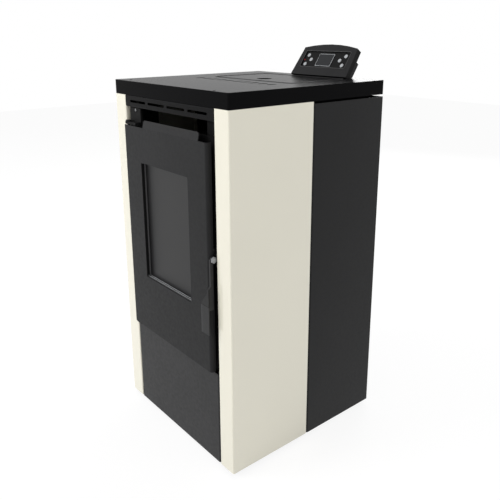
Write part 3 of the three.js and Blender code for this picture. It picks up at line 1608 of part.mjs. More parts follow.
function smokeMotorBody() {
  const from = smokeFanRight + fitGap;
  const end = from + smokeMotorLength;
  const round = (diameter, x0, x1, segments) => sideways(
    disc(smokeFanY, smokeFanZ, diameter), x0, x1, segments,
  );
  const flange = round(smokeMotorFlange, from, from + motorPlate, 5);
  const can = round(smokeMotor, from + 1, end - motorStep, 5);
  const cap = round(smokeMotorCap, from + 1, end, 4);
  const bore = round(smokeShaft + 2 * fitGap, from - 1, from + smokeShaftReach + 1, 3);
  return cut(join(flange, can, cap), bore);
}

function flueSpigot() {
  const front = backPanelRear + fitGap;
  const rear = backY + flueStickOut;
  const half = flueFlange / 2;
  const flange = facing(roundRect(
    flueX - half, flueX + half, flueZ - half + flueFlangeTrim, flueZ + half, pipeFlangeCorner,
  ), front, front + flueFlangeThickness, 2);
  const tube = facing(disc(flueX, flueZ, flueDiameter), front, rear, 6);
  const bead = facing(
    disc(flueX, flueZ, flueDiameter + pipeBead), rear - pipeBeadEnd - pipeBead, rear - pipeBeadEnd, 6,
  );
  const bore = facing(disc(flueX, flueZ, flueDiameter - 2 * flueWall), front - 1, rear + 1, 6);
  return cut(join(flange, tube, bead), bore);
}

// The points of a counter-clockwise outline, moved inwards by a margin.
function inset(outline, margin) {
  const count = outline.length;
  const edges = outline.map(([a, b], i) => {
    const [c, d] = outline[(i + 1) % count];
    const long = Math.hypot(c - a, d - b);
    const [along, up] = [(c - a) / long, (d - b) / long];
    return { a: a - up * margin, b: b + along * margin, along, up };
  });
  return edges.map((edge, i) => {
    const last = edges[(i + count - 1) % count];
    const cross = last.along * edge.up - last.up * edge.along;
    const t = ((edge.a - last.a) * edge.up - (edge.b - last.b) * edge.along) / cross;
    return [last.a + last.along * t, last.b + last.up * t];
  });
}

// A flat duct down the firebox's left side and back to the fan's inlet.
function smokeDuct() {
  const x1 = -fireHalf - fitGap;
  const x0 = x1 - smokeDuctDepth;
  const round = smokeInlet / 2 + smokeDuctMargin;
  const rear = smokeFanY + round;
  const low = smokeFanZ - round;
  const legRear = smokeDuctFrontY + smokeDuctWidth;
  const outline = [
    [smokeDuctFrontY, fireboxTop],
    [smokeDuctFrontY, fireboxBottom - smokeDuctDrop],
    [smokeFanY - round, low],
    [rear, low],
    [rear, smokeFanZ + round],
    [legRear, fireboxBottom],
    [legRear, fireboxTop],
  ];
  const [y0, y1, z0, z1] = smokeWindow;
  const inner = x1 - smokeDuctSheet;
  return cut(
    sideways(polygon(outline), x0, x1),
    sideways(polygon(inset(outline, smokeDuctSheet)), x0 + smokeDuctSheet, inner),
    block(inner - 1, x1 + 1, y0, y1, z0, z1),
    sideways(disc(smokeFanY, smokeFanZ, smokeInlet), inner - 1, x1 + 1, 6),
  );
}

carry(smoke, "smoke_fan_housing", smokeHousing(), zinc);
carry(groupAt(0, smokeFanY, smokeFanZ), "smoke_fan_impeller", impeller(), steel);
carry(smoke, "smoke_fan_motor", smokeMotorBody(), steel);
carry(smoke, "flue_spigot", flueSpigot(), zinc);
carry(smoke, "smoke_duct", smokeDuct(), steel);

// ---------------------------------------------------------------- room-air fan

const rotorRadius = roomRotor / 2;
const outletFront = roomFanY - rotorRadius - roomOutletDepth + roomOutletShift;
const outletRear = outletFront + roomOutletDepth + roomOutletShift;
const rotorTop = roomFanZ + rotorRadius;
const rotorRear = roomFanY + rotorRadius;
const outletTop = rotorTop + roomOutletHeight;

function roomHousing() {
  const wallLow = roomFanZ - rotorRadius - 2 * roomFanClearance - roomWallDrop;
  const wallPath = [
    [outletFront, outletTop],
    [outletFront, wallLow + roomWallRise],
    [outletFront + roomWallRun, wallLow],
    [rotorRear, wallLow + roomWallEndRise],
  ];
  const tonguePath = [
    [outletRear, outletTop],
    [outletRear, rotorTop + roomTongueRise],
    [outletRear + roomTongueRun, rotorTop + roomTongueGap],
  ];
  const x0 = roomFanLeft;
  const x1 = roomFanRight;
  const walls = [
    sideways(foldedSheet(wallPath, roomFanWall, roomWallBend, 4), x0, x1),
    sideways(foldedSheet(tonguePath, roomFanWall, 2 * roomFanWall, 2), x0, x1),
  ];
  const edge = roomFanWall / 2;
  const cheekShape = () => withHoles(polygon([
    [outletFront - edge, outletTop],
    [outletRear + edge, outletTop],
    [outletRear + edge, rotorTop + roomCheekRim],
    [rotorRear + roomCheekRim, rotorTop + roomCheekRim],
    [rotorRear + roomCheekRim, panFloor + fitGap],
    [outletFront + roomCheekFoot, panFloor + fitGap],
    [outletFront + roomCheekFoot, wallLow - edge],
    [outletFront - edge, wallLow + roomWallBend],
  ]), disc(roomFanY, roomFanZ, roomShaft + 2 * fitGap));
  const cheeks = [
    sideways(cheekShape(), x0, x0 + roomFanWall, 3),
    sideways(cheekShape(), x1 - roomFanWall, x1, 3),
  ];
  return join(...walls, ...cheeks);
}

function roomRotorBody() {
  const x0 = roomFanLeft + roomFanWall + roomFanClearance;
  const x1 = roomFanRight - roomFanWall - roomFanClearance;
  const middle = (x0 + x1) / 2;
  const discs = [x0, middle - roomDisc / 2, x1 - roomDisc].map(
    (x) => sideways(disc(0, 0, roomRotor), x, x + roomDisc, 4),
  );
  const bore = sideways(disc(0, 0, rotorRadius), middle - roomDisc, middle + roomDisc, 3);
  discs[1] = cut(discs[1], bore);
  const blades = [];
  for (let i = 0; i < roomBlades; i += 1) {
    const blade = new THREE.BoxGeometry(x1 - x0 - 1, roomBladeDepth, roomBladeThickness)
      .rotateX(THREE.MathUtils.degToRad(roomBladeTurn))
      .translate((x0 + x1) / 2, rotorRadius - roomBladeDepth / 2 - 1, 0)
      .rotateX((2 * Math.PI * i) / roomBlades);
    blades.push(solid(blade));
  }
  const shafts = [
    sideways(disc(0, 0, roomShaft), roomFanLeft - roomShaftEnd, x0 + 1, 3),
    sideways(disc(0, 0, roomShaft), x1 - 1, roomFanRight + roomShaftReach, 3),
  ];
  return join(...discs, ...shafts, ...blades);
}

function roomMotorBody() {
  const from = roomFanRight + fitGap;
  const end = from + roomMotorLength;
  const half = roomMotor / 2 + roomMotorRim;
  const plate = sideways(
    roundRect(roomFanY - half, roomFanY + half, roomFanZ - half, roomFanZ + half, roomMotorRim),
    from, from + motorPlate, 2,
  );
  const round = (diameter, x0, x1, segments) => sideways(
    disc(roomFanY, roomFanZ, diameter), x0, x1, segments,
  );
  const can = round(roomMotor, from + 1, end - motorStep, 5);
  const cap = round(roomMotorCap, from + 1, end, 4);
  const bore = round(roomShaft + 2 * fitGap, from - 1, from + roomShaftReach + 1, 3);
  return cut(join(plate, can, cap), bore);
}

carry(casing, "room_fan_housing", roomHousing(), zinc);
carry(groupAt(0, roomFanY, roomFanZ), "room_fan_rotor", roomRotorBody(), steel);
carry(casing, "room_fan_motor", roomMotorBody(), steel);

// ---------------------------------------------------------------- electrics

function controlBoard() {
  const web = frameWebX - frameSheet - fitGap;
  const rear = web - boardStandoff;
  const face = rear - boardThickness;
  const y1 = boardY + boardLength;
  const z1 = boardBottom + boardHeight;
  const parts = [block(face, rear, boardY, y1, boardBottom, z1)];
  for (const y of [boardY + boardPostInset, y1 - boardPostInset]) {
    for (const z of [boardBottom + boardPostInset, z1 - boardPostInset]) {
      parts.push(sideways(disc(y, z, boardPost), face, web, 2));
    }
  }
  for (const [along, up, long, tall, deep] of boardParts) {
    const y = boardY + along * boardLength;
    const z = boardBottom + up * boardHeight;
    const [halfLong, halfTall] = [(long * boardLength) / 2, (tall * boardHeight) / 2];
    parts.push(block(
      face - deep * boardStandoff, face + boardThickness / 2,
      y - halfLong, y + halfLong, z - halfTall, z + halfTall,
    ));
  }
  return join(...parts);
}

const inletFace = backPanelRear + fitGap + inletFlange;
const rockerRoom = rockerHeight / 2 + rockerDish;

function powerInlet() {
  const half = inletWidth / 2 - fitGap;
  const high = inletHeight / 2 - fitGap;
  const body = block(
    inletX - half, inletX + half, inletFace - inletFlange - inletBody, inletFace - 0.5,
    inletZ - high, inletZ + high,
  );
  const flange = facing(roundRect(
    inletX - inletWidth / 2 - inletRim, inletX + inletWidth / 2 + inletRim,
    inletZ - inletHeight / 2 - inletRim, inletZ + inletHeight / 2 + inletRim, inletRim,
  ), inletFace - inletFlange, inletFace, 2);
  const socket = facing(polygon([
    [inletX - socketWidth / 2, socketZ - socketHeight / 2],
    [inletX + socketWidth / 2, socketZ - socketHeight / 2],
    [inletX + socketWidth / 2, socketZ + socketHeight / 2 - socketChamfer],
    [inletX + socketWidth / 2 - socketChamfer, socketZ + socketHeight / 2],
    [inletX - socketWidth / 2 + socketChamfer, socketZ + socketHeight / 2],
    [inletX - socketWidth / 2, socketZ + socketHeight / 2 - socketChamfer],
  ]), inletFace - socketDepth, inletFace + 1);
  const recess = block(
    inletX - rockerWidth / 2 - rockerPlay, inletX + rockerWidth / 2 + rockerPlay,
    inletFace - rockerDepth - rockerWell, inletFace + 1, rockerZ - rockerRoom, rockerZ + rockerRoom,
  );
  const [pinHalfWidth, pinHalfHeight] = socketPinHalf;
  const pins = socketPins.map(([x, z]) => block(
    inletX + x - pinHalfWidth, inletX + x + pinHalfWidth,
    inletFace - socketDepth - 1, inletFace - socketPinSink,
    socketZ + z - pinHalfHeight, socketZ + z + pinHalfHeight,
  ));
  return join(cut(join(body, flange), socket, recess), ...pins);
}

function rocker() {
  const high = rockerHeight / 2;
  const profile = polygon([
    [-rockerDepth / 2, -rockerFoot],
    [rockerDepth / 2, -high],
    [rockerDepth / 2 - rockerDish, 0],
    [rockerDepth / 2, high],
    [-rockerDepth / 2, rockerFoot],
  ]);
  return sideways(profile, -rockerWidth / 2, rockerWidth / 2);
}

carry(casing, "control_board", controlBoard(), boardGreen);
carry(casing, "power_inlet", powerInlet(), plastic);
const rockerGroup = groupAt(inletX, inletFace - rockerDepth / 2 + rockerProud, rockerZ);
const rockerMesh = carry(rockerGroup, "rocker_switch", rocker(), plastic);
rockerMesh.rotation.x = -THREE.MathUtils.degToRad(rockerAngle) / 2;

// ---------------------------------------------------------------- control console

const console3d = groupAt(consoleX, consoleY, casingTop, THREE.MathUtils.degToRad(consoleTilt));
console3d.updateMatrix();
const belowPlate = transformed(
  block(-halfWidth, halfWidth, frontY, 2 * backY, 0, casingTop + fitGap),
  console3d.matrix.clone().invert(),
);

function consoleOutline(inset, low = consoleFoot + inset) {
  const bottom = consoleHalfBottom - inset;
  const top = consoleHalfTop - inset;
  const shoulder = consoleShoulder - inset;
  const peak = consolePeak - inset;
  const shape = new THREE.Shape();
  shape.moveTo(-bottom, low);
  shape.lineTo(bottom, low);
  shape.lineTo(top, shoulder);
  shape.quadraticCurveTo(0, 2 * peak - shoulder, -top, shoulder);
  shape.closePath();
  return shape;
}

function bezel() {
  const floorBack = -bezelRecess - bezelFloor;
  const shell = cut(
    standing(consoleOutline(0), -bezelDepth, 0, 6),
    standing(consoleOutline(bezelWall), -bezelDepth - 1, floorBack, 6),
  );
  const recess = standing(roundRect(-recessHalf, recessHalf, recessBottom, recessTop, 2), -bezelRecess, 1, 2);
  const half = screenWidth / 2 - screenRim;
  const screenHole = standing(
    roundRect(-half, half, screenBottom + screenRim, screenBottom + screenHeight - screenRim, 0.5),
    floorBack - 1, 1, 1,
  );
  const keyHoles = keyPlaces.map(
    ([x, y]) => standing(disc(x, y, keyDiameter + 2 * keyGap), floorBack - 1, 1, 3),
  );
  return cut(shell, recess, screenHole, ...keyHoles, belowPlate);
}

function housing() {
  const front = -bezelDepth - fitGap;
  const behind = front - housingSheet;
  const wide = 2 * consoleHalfBottom;
  const deep = behind - 2 * housingDepth;
  const cover = standing(consoleOutline(0), behind, front, 6);
  const trunk = cut(
    standing(consoleOutline(0, -consoleShoulder), behind - housingDepth, front),
    block(-wide, wide, housingTop, 2 * consolePeak, deep, behind),
    block(-wide, wide, consoleShoulder - 1, 2 * consolePeak, deep, front + 1),
  );
  return cut(join(cover, trunk), belowPlate);
}

function screen() {
  const floorTop = -bezelRecess + fitGap;
  const half = screenWidth / 2 - screenRim - fitGap;
  const glass = standing(roundRect(
    -half, half,
    screenBottom + screenRim + fitGap, screenBottom + screenHeight - screenRim - fitGap, 0.5,
  ), -bezelRecess - screenThickness, floorTop + 0.2, 1);
  const rim = standing(frameShape(
    [-screenWidth / 2, screenWidth / 2, screenBottom, screenBottom + screenHeight],
    [
      screenLap - half, half - screenLap,
      screenBottom + screenRim + screenLap, screenBottom + screenHeight - screenRim - screenLap,
    ],
    1, 0.5,
  ), floorTop, floorTop + screenRimSheet, 1);
  return join(glass, rim);
}

function key() {
  const radius = keyDiameter / 2;
  const top = keyProud - bezelRecess;
  const collarTop = -bezelRecess - bezelFloor - fitGap;
  const profile = [
    [0, collarTop - keyCollar],
    [radius + keyCollar, collarTop - keyCollar],
    [radius + keyCollar, collarTop],
    [radius, collarTop],
    [radius, top - keyBevel[1]],
    [radius - keyBevel[0], top],
    [0, top + keyCrown],
  ].map(([r, z]) => new THREE.Vector2(r, z));
  return solid(new THREE.LatheGeometry(profile, 10).rotateX(Math.PI / 2));
}

carry(console3d, "console_bezel", bezel(), plastic);
carry(console3d, "console_housing", housing(), plastic);
carry(console3d, "display_screen", screen(), silver);
keyPlaces.forEach(([x, y], i) => {
  const mesh = carry(console3d, `key_${i + 1}`, key(), silver);
  mesh.position.set(x, y, 0);
});

// The origin is the middle of the object's box, on the floor.
stove.position.y = -(gripFront + backY + flueStickOut) / 2;

export default stove;
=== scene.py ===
import json
import math
import bmesh
import bpy
from mathutils import Matrix, Vector


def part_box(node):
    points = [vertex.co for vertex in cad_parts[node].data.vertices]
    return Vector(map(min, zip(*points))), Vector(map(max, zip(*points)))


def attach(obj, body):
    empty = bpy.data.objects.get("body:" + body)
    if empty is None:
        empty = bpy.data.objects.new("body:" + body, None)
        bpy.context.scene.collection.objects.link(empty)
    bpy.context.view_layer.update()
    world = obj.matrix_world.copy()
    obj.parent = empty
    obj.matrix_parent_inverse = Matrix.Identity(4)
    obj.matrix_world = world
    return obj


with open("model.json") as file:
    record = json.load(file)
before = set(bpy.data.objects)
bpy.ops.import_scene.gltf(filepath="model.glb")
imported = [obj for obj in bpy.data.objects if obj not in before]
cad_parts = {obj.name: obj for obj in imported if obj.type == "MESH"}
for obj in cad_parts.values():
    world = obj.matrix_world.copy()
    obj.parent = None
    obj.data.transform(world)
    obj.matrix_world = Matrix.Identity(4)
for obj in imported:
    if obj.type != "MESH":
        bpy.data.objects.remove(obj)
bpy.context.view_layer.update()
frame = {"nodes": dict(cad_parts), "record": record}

NODES = frame["nodes"]
SHIFT_Y = -14.25  # of the casing's centre in the row frame, in millimetres


def at(x, y, z):
    """A place given in millimetres from the casing's centre on the floor, as metres in the row frame."""
    return Vector((x / 1000, (y + SHIFT_Y) / 1000, z / 1000))


# ---------------------------------------------------------------- camera

IMAGE_SIZE = 500  # pixels
SENSOR = 36  # millimetres
FOCAL_PIXELS = 601.95
CAMERA_PLACE = (997.95, -812.2, 858.11)
CAMERA_YAW = math.radians(50.621)
CAMERA_PITCH = math.radians(-15.678)
CAMERA_ROLL = math.radians(-0.259)
CAMERA_SHIFT = -0.1


def make_camera():
    yaw, pitch, roll = CAMERA_YAW, CAMERA_PITCH, CAMERA_ROLL
    forward = Vector((
        -math.sin(yaw) * math.cos(pitch), math.cos(yaw) * math.cos(pitch), math.sin(pitch),
    ))
    right = Vector((math.cos(yaw), math.sin(yaw), 0))
    up = right.cross(forward)
    side = right * math.cos(roll) + up * math.sin(roll)
    top = up * math.cos(roll) - right * math.sin(roll)
    data = bpy.data.cameras.new("camera")
    data.lens = FOCAL_PIXELS * SENSOR / IMAGE_SIZE
    data.sensor_width = SENSOR
    data.shift_y = CAMERA_SHIFT
    data.clip_start = 0.01
    data.clip_end = 50
    camera = bpy.data.objects.new("camera", data)
    bpy.context.scene.collection.objects.link(camera)
    turn = Matrix((side, top, -forward)).transposed()
    camera.matrix_world = Matrix.Translation(at(*CAMERA_PLACE)) @ turn.to_4x4()
    bpy.context.scene.camera = camera


make_camera()
bpy.context.scene.view_settings.view_transform = "Standard"


# ---------------------------------------------------------------- materials

def shade(hex_colour):
    """A written colour as linear light."""
    channels = [int(hex_colour[i:i + 2], 16) / 255 for i in (1, 3, 5)]
    return [c / 12.92 if c <= 0.04045 else ((c + 0.055) / 1.055) ** 2.4 for c in channels]


class Surface:
    """A Principled material whose colour, roughness and bump come from noise in object coordinates."""

    def __init__(self, name, colour, roughness, metallic=0.0, specular=0.5):
        self.material = bpy.data.materials.new(name)
        self.material.use_nodes = True
        self.tree = self.material.node_tree
        self.shader = self.tree.nodes["Principled BSDF"]
        self.shader.inputs["Metallic"].default_value = metallic
        self.shader.inputs["Roughness"].default_value = roughness
        self.shader.inputs["Specular IOR Level"].default_value = specular
        self.colour = shade(colour)
        self.shader.inputs["Base Color"].default_value = (*self.colour, 1)
        self.place = self.node("ShaderNodeTexCoord").outputs["Object"]

    def node(self, kind, **values):
        made = self.tree.nodes.new(kind)
        for key, value in values.items():
            setattr(made, key, value)
        return made

    def link(self, start, end):
        self.tree.links.new(start, end)

    def noise(self, scale, detail=4.0, rough=0.55, stretch=None):
        made = self.node("ShaderNodeTexNoise")
        made.inputs["Scale"].default_value = scale
        made.inputs["Detail"].default_value = detail
        made.inputs["Roughness"].default_value = rough
        source = self.place
        if stretch:
            mapping = self.node("ShaderNodeMapping")
            mapping.inputs["Scale"].default_value = stretch
            self.link(source, mapping.inputs["Vector"])
            source = mapping.outputs["Vector"]
        self.link(source, made.inputs["Vector"])
        return made.outputs["Fac"]

    def spread(self, source, low, high, start=0.3, end=0.7):
        made = self.node("ShaderNodeMapRange")
        made.inputs["From Min"].default_value = start
        made.inputs["From Max"].default_value = end
        made.inputs["To Min"].default_value = low
        made.inputs["To Max"].default_value = high
        self.link(source, made.inputs["Value"])
        return made.outputs["Result"]

    def tones(self, source, *stops):
        """Colour between written stops: (place, how much of the base colour)."""
        ramp = self.node("ShaderNodeValToRGB")
        while len(ramp.color_ramp.elements) < len(stops):
            ramp.color_ramp.elements.new(0.5)
        for element, (place, amount) in zip(ramp.color_ramp.elements, stops):
            element.position = place
            element.color = (*[min(c * amount, 1) for c in self.colour], 1)
        self.link(source, ramp.inputs["Fac"])
        self.link(ramp.outputs["Color"], self.shader.inputs["Base Color"])

    def rough(self, source, low, high):
        self.link(self.spread(source, low, high), self.shader.inputs["Roughness"])

    def bump(self, source, distance, strength=1.0):
        made = self.node("ShaderNodeBump")
        made.inputs["Distance"].default_value = distance
        made.inputs["Strength"].default_value = strength
        self.link(source, made.inputs["Height"])
        last = self.shader.inputs["Normal"]
        if last.is_linked:
            self.link(last.links[0].from_socket, made.inputs["Normal"])
        self.link(made.outputs["Normal"], last)

    def tint_where(self, tests, amount):
        """Scale the colour where every (axis, operation, metres) test holds in object coordinates."""
        parts = self.node("ShaderNodeSeparateXYZ")
        self.link(self.place, parts.inputs[0])
        held = None
        for axis, operation, value in tests:
            test = self.node("ShaderNodeMath", operation=operation)
            test.inputs[1].default_value = value
            self.link(parts.outputs[axis], test.inputs[0])
            if held:
                both = self.node("ShaderNodeMath", operation="MULTIPLY")
                self.link(held, both.inputs[0])
                self.link(test.outputs[0], both.inputs[1])
                held = both.outputs[0]
            else:
                held = test.outputs[0]
        self.scale_colour(self.spread(held, 1.0, amount, 0.0, 1.0))

    def scale_colour(self, amount):
        """Multiply the colour that is already linked."""
        tone = self.node("ShaderNodeVectorMath", operation="SCALE")
        colour = self.shader.inputs["Base Color"]
        self.link(colour.links[0].from_socket, tone.inputs[0])
        self.link(amount, tone.inputs["Scale"])
        self.link(tone.outputs["Vector"], colour)


# Places of painted shade and painted highlight, as tests in object coordinates and how much of the colour is
# left there.
# Cream sheets: painted shade on the inner faces.
INSIDE_PAINTED_SHADE = [("X", "LESS_THAN", 0.1988), ("X", "GREATER_THAN", -0.1988), ("Y", "GREATER_THAN", -0.2)]
INSIDE_SHADE_TONE = 0.3
# Door frame: painted shade on the outer half of the reveal on the hinge side.
REVEAL_SHADE_MARKS = [
    ([("X", "LESS_THAN", -0.0868), ("X", "GREATER_THAN", -0.0875), ("Y", "LESS_THAN", -0.2198)], 0.05),
]
# Handle: painted shadow in the crease over the grip, painted shade on the gusset above it and a painted
# highlight on the folded edge.
HANDLE_SHADE_AND_HIGHLIGHT_MARKS = [
    ([("Z", "GREATER_THAN", 0.359), ("Z", "LESS_THAN", 0.3606), ("Y", "LESS_THAN", -0.2315)], 0.12),
    ([("Z", "GREATER_THAN", 0.3606), ("Z", "LESS_THAN", 0.4), ("Y", "LESS_THAN", -0.2305)], 0.6),
    ([("X", "LESS_THAN", 0.1296), ("Z", "LESS_THAN", 0.359), ("Y", "LESS_THAN", -0.2325)], 1.6),
]


def enamel(name, colour, roughness, peel, coat):
    """Glossy baked enamel with a faint orange peel, and painted shade on the inner faces."""
    s = Surface(name, colour, roughness)
    s.shader.inputs["Coat Weight"].default_value = coat
    s.shader.inputs["Coat Roughness"].default_value = 0.06
    s.tones(s.noise(3.0, 2.0), (0.3, 0.985), (0.7, 1.01))
    s.rough(s.noise(40.0, 3.0), roughness - 0.03, roughness + 0.05)
    s.bump(s.noise(420.0, 2.0), peel, 0.35)
    # painted shade: the inner faces of the cream sheets are darkened
    s.tint_where(INSIDE_PAINTED_SHADE, INSIDE_SHADE_TONE)
    return s.material


def texture_paint(name, colour, roughness, grain, specular, variation=0.08, sheen=0.06, marks=()):
    """Powder coat: fine grain, small changes of tone and sheen."""
    s = Surface(name, colour, roughness, 0.0, specular)
    s.tones(s.noise(9.0, 5.0), (0.3, 1 - variation), (0.7, 1 + variation))
    s.rough(s.noise(140.0, 4.0), roughness - sheen, roughness + sheen)
    s.bump(s.noise(1300.0, 3.0, 0.6), grain, 0.6)
    for tests, amount in marks:
        s.tint_where(tests, amount)
    return s.material


def sheet_metal(name, colour, roughness, stretch=(1, 1, 18)):
    """Bare or plated sheet with rolling lines and cloudy patches."""
    s = Surface(name, colour, roughness, 1.0)
    s.tones(s.noise(26.0, 6.0, 0.7), (0.25, 0.78), (0.5, 1.0), (0.75, 1.12))
    s.rough(s.noise(60.0, 5.0), roughness - 0.08, roughness + 0.12)
    s.bump(s.noise(240.0, 3.0, 0.5, stretch), 0.00006, 0.5)
    return s.material


def rough_cast(name, colour, roughness, metallic, scale=260.0, height=0.0004):
    """Sand-cast iron or pressed board."""
    s = Surface(name, colour, roughness, metallic)
    s.tones(s.noise(30.0, 6.0), (0.3, 0.75), (0.7, 1.2))
    s.rough(s.noise(90.0, 4.0), roughness - 0.08, roughness + 0.05)
    s.bump(s.noise(scale, 5.0, 0.65), height, 0.7)
    return s.material


def moulded(name, colour, roughness, grain=0.00006, specular=0.5):
    """Moulded plastic with a fine spark-eroded grain."""
    s = Surface(name, colour, roughness, 0.0, specular)
    s.tones(s.noise(20.0, 3.0), (0.3, 0.93), (0.7, 1.07))
    s.rough(s.noise(300.0, 2.0), roughness - 0.04, roughness + 0.05)
    s.bump(s.noise(1800.0, 2.0), grain, 0.5)
    return s.material


def woven_rope(name, colour):
    """Glass-fibre rope: crossed waves along and round it."""
    s = Surface(name, colour, 0.95)
    s.tones(s.noise(700.0, 3.0), (0.3, 0.7), (0.7, 1.15))
    for turn in (0.78, -0.78):
        mapping = s.node("ShaderNodeMapping")
        mapping.inputs["Rotation"].default_value = (0, turn, 0)
        s.link(s.place, mapping.inputs["Vector"])
        wave = s.node("ShaderNodeTexWave")
        wave.inputs["Scale"].default_value = 190.0
        s.link(mapping.outputs["Vector"], wave.inputs["Vector"])
        s.bump(wave.outputs["Fac"], 0.0006, 0.6)
    return s.material


def dark_glass(name, colour, transmission, roughness, specular):
    """Tinted pane, very slightly wavy."""
    s = Surface(name, colour, roughness, 0.0, specular)
    s.shader.inputs["IOR"].default_value = 1.5
    s.shader.inputs["Transmission Weight"].default_value = transmission
    s.tones(s.noise(6.0, 2.0), (0.3, 0.95), (0.7, 1.05))
    s.bump(s.noise(5.0, 1.0), 0.0004, 0.15)
    return s.material


CREAM = enamel("cream_enamel", "#f3efde", roughness=0.18, peel=0.000004, coat=0.6)
SLAB = texture_paint(
    "top_enamel", "#111112", 0.25, grain=0.000002, variation=0.05, specular=0.014, sheen=0.008)
BLACK = texture_paint("black_satin", "#1a1a1b", 0.42, grain=0.00003, specular=0.16)
GRILLE = texture_paint("grille_coat", "#111112", 0.4, grain=0.00003, specular=0.05)
DOOR = texture_paint("door_coat", "#222223", 0.48, grain=0.00004, specular=0.12)
# Handle coat with the painted shadow, shade and highlight marks above.
HANDLE = texture_paint("handle_coat_with_painted_light", "#2c2c2d", 0.4, grain=0.00003, specular=0.16, marks=HANDLE_SHADE_AND_HIGHLIGHT_MARKS)
LOWER = texture_paint("lower_panel_coat", "#2c2c2d", 0.48, grain=0.00004, specular=0.18)
SOOT = texture_paint("firebox_coat", "#0d0d0d", 0.8, grain=0.0001, variation=0.25, specular=0.08)
BRACKET = texture_paint("bracket_coat", "#191919", 0.7, grain=0.00006, variation=0.1, specular=0.1)
# Door frame: lighter grey than its black paint, painted light on the reveal walls that get little light.
LIT_FRAME = texture_paint("door_frame_painted_light", "#5c5c5d", 0.55, grain=0.00005, specular=0.15, marks=REVEAL_SHADE_MARKS)
IRON = rough_cast("cast_iron", "#3a3836", 0.72, metallic=0.4)
BOARD_STONE = rough_cast("mineral_board", "#b9a986", 0.92, metallic=0.0, scale=90.0, height=0.0006)
ZINC = sheet_metal("zinc_sheet", "#b4b6b7", 0.38)
TANK = sheet_metal("tank_sheet", "#8a8c8d", 0.44)
STEEL = sheet_metal("bare_steel", "#8e8f90", 0.42)
MOTOR = sheet_metal("motor_metal", "#8a8c8d", 0.34, stretch=(18, 1, 1))
GLASS = dark_glass("fire_glass", "#1b1b1c", transmission=0.15, roughness=0.42, specular=0.31)
ROPE = woven_rope("gasket_rope", "#8c8982")
PLASTIC = moulded("black_plastic", "#1a1a1b", 0.42, specular=0.17)
CERAMIC = rough_cast("igniter_ceramic", "#d8d4ca", 0.6, metallic=0.0, scale=500.0, height=0.0001)
BOARD = moulded("circuit_board", "#2d5a3b", 0.5)
SILVER = moulded("silver_finish", "#bfc2c5", 0.3, grain=0.00002)
NUT = moulded("nut_plating", "#8f9194", 0.34, grain=0.00002)
RED = moulded("red_lamp", "#c8231c", 0.25)
RIM = moulded("panel_rim_plastic", "#4c4c4d", 0.35, grain=0.00003, specular=0.3)
LCD = dark_glass("display_glass", "#202225", transmission=0.0, roughness=0.2, specular=0.2)

BY_SLOT = {
    "cream": CREAM, "black": BLACK, "door": DOOR, "top": SLAB, "iron": IRON, "zinc": ZINC, "steel": STEEL,
    "motor": MOTOR, "glass": GLASS, "rope": ROPE, "plastic": PLASTIC, "mineral": BOARD_STONE,
    "ceramic": CERAMIC, "board": BOARD, "bright": SILVER,
}


def set_material(obj, material):
    obj.data.materials.clear()
    obj.data.materials.append(material)


OWN_FINISH = {
    "firebox": SOOT, "inner_frame_left": SOOT, "inner_frame_right": SOOT, "hinge_bracket_top": BRACKET,
    "hinge_bracket_bottom": BRACKET, "door_frame": LIT_FRAME, "front_grille": GRILLE, "hopper_tank": TANK,
    "hinge_pin_top": BLACK, "latch_keeper": BLACK, "door_handle": HANDLE, "handle_bolt": NUT,
    "lower_front_panel": LOWER,
}
# Widths of the fine rounded edges, in metres.
COMMON_BEVEL = 0.0003
SCREW_BEVEL = 0.00015
BEVELS = {
    "top_plate": 0.0009, "door_panel": 0.0005, "cream_panel_left": 0.0004, "cream_panel_right": 0.0004,
    "base_pan": 0.0004, "firebox": 0.0006, "burn_pot": 0.0006, "door_frame": 0.0008, "fireback_plate": 0.001,
    "console_bezel": 0.0007, "console_housing": 0.0008, "door_handle": 0.0011,
    "hinge_bracket_top": 0.0004, "baffle_plate": 0.001, "auger_gearmotor": 0.0008,
}


def dress_nodes():
    """A finish and fine rounded edges on each node."""
    slots = {entry["node"]: entry["material_slot"] for entry in frame["record"]["subparts"]}
    for name, obj in NODES.items():
        set_material(obj, OWN_FINISH.get(name, BY_SLOT[slots[name]]))
        bevel = obj.modifiers.new("edge", "BEVEL")
        bevel.width = BEVELS.get(name, COMMON_BEVEL)
        bevel.segments = 2
        bevel.limit_method = "ANGLE"
        bevel.angle_limit = math.radians(35)
        for polygon in obj.data.polygons:
            polygon.use_smooth = False


dress_nodes()


# ---------------------------------------------------------------- pieces added to the solids

def add_mesh(name, build, material, body, smooth=True):
    """A named piece, filled in by build(bm), that rides on a body."""
    mesh = bpy.data.meshes.new(name)
    bm = bmesh.new()
    build(bm)
    bmesh.ops.recalc_face_normals(bm, faces=bm.faces)
    bm.to_mesh(mesh)
    bm.free()
    mesh.materials.append(material)
    obj = bpy.data.objects.new(name, mesh)
    bpy.context.scene.collection.objects.link(obj)
    for polygon in mesh.polygons:
        polygon.use_smooth = smooth
    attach(obj, body)
    return obj


def facing_frame(normal):
    """Axes of a small part whose +Z is the given direction."""
    z = Vector(normal).normalized()
    x = Vector((0, 0, 1)).cross(z)
    if x.length < 0.01:
        x = Vector((1, 0, 0))
    x.normalize()
    return x, z.cross(x), z


CORNER_STEPS = 9
BEAD_SIDES = 8


def ring_of(bm, centre, axes, height, radius, count, hexagon):
    """Points round a circle, or round a hexagon with this outer radius."""
    x, y, z = axes
    ring = []
    for i in range(count):
        turn = 2 * math.pi * i / count
        r = radius
        if hexagon:
            r = radius * math.cos(math.pi / 6) / math.cos((turn % (math.pi / 3)) - math.pi / 6)
        ring.append(bm.verts.new(centre + x * r * math.cos(turn) + y * r * math.sin(turn) + z * height))
    return ring


def bridge(bm, low_ring, high_ring):
    """A band of faces between two rings of as many points."""
    count = len(low_ring)
    for i in range(count):
        j = (i + 1) % count
        bm.faces.new((low_ring[i], low_ring[j], high_ring[j], high_ring[i]))


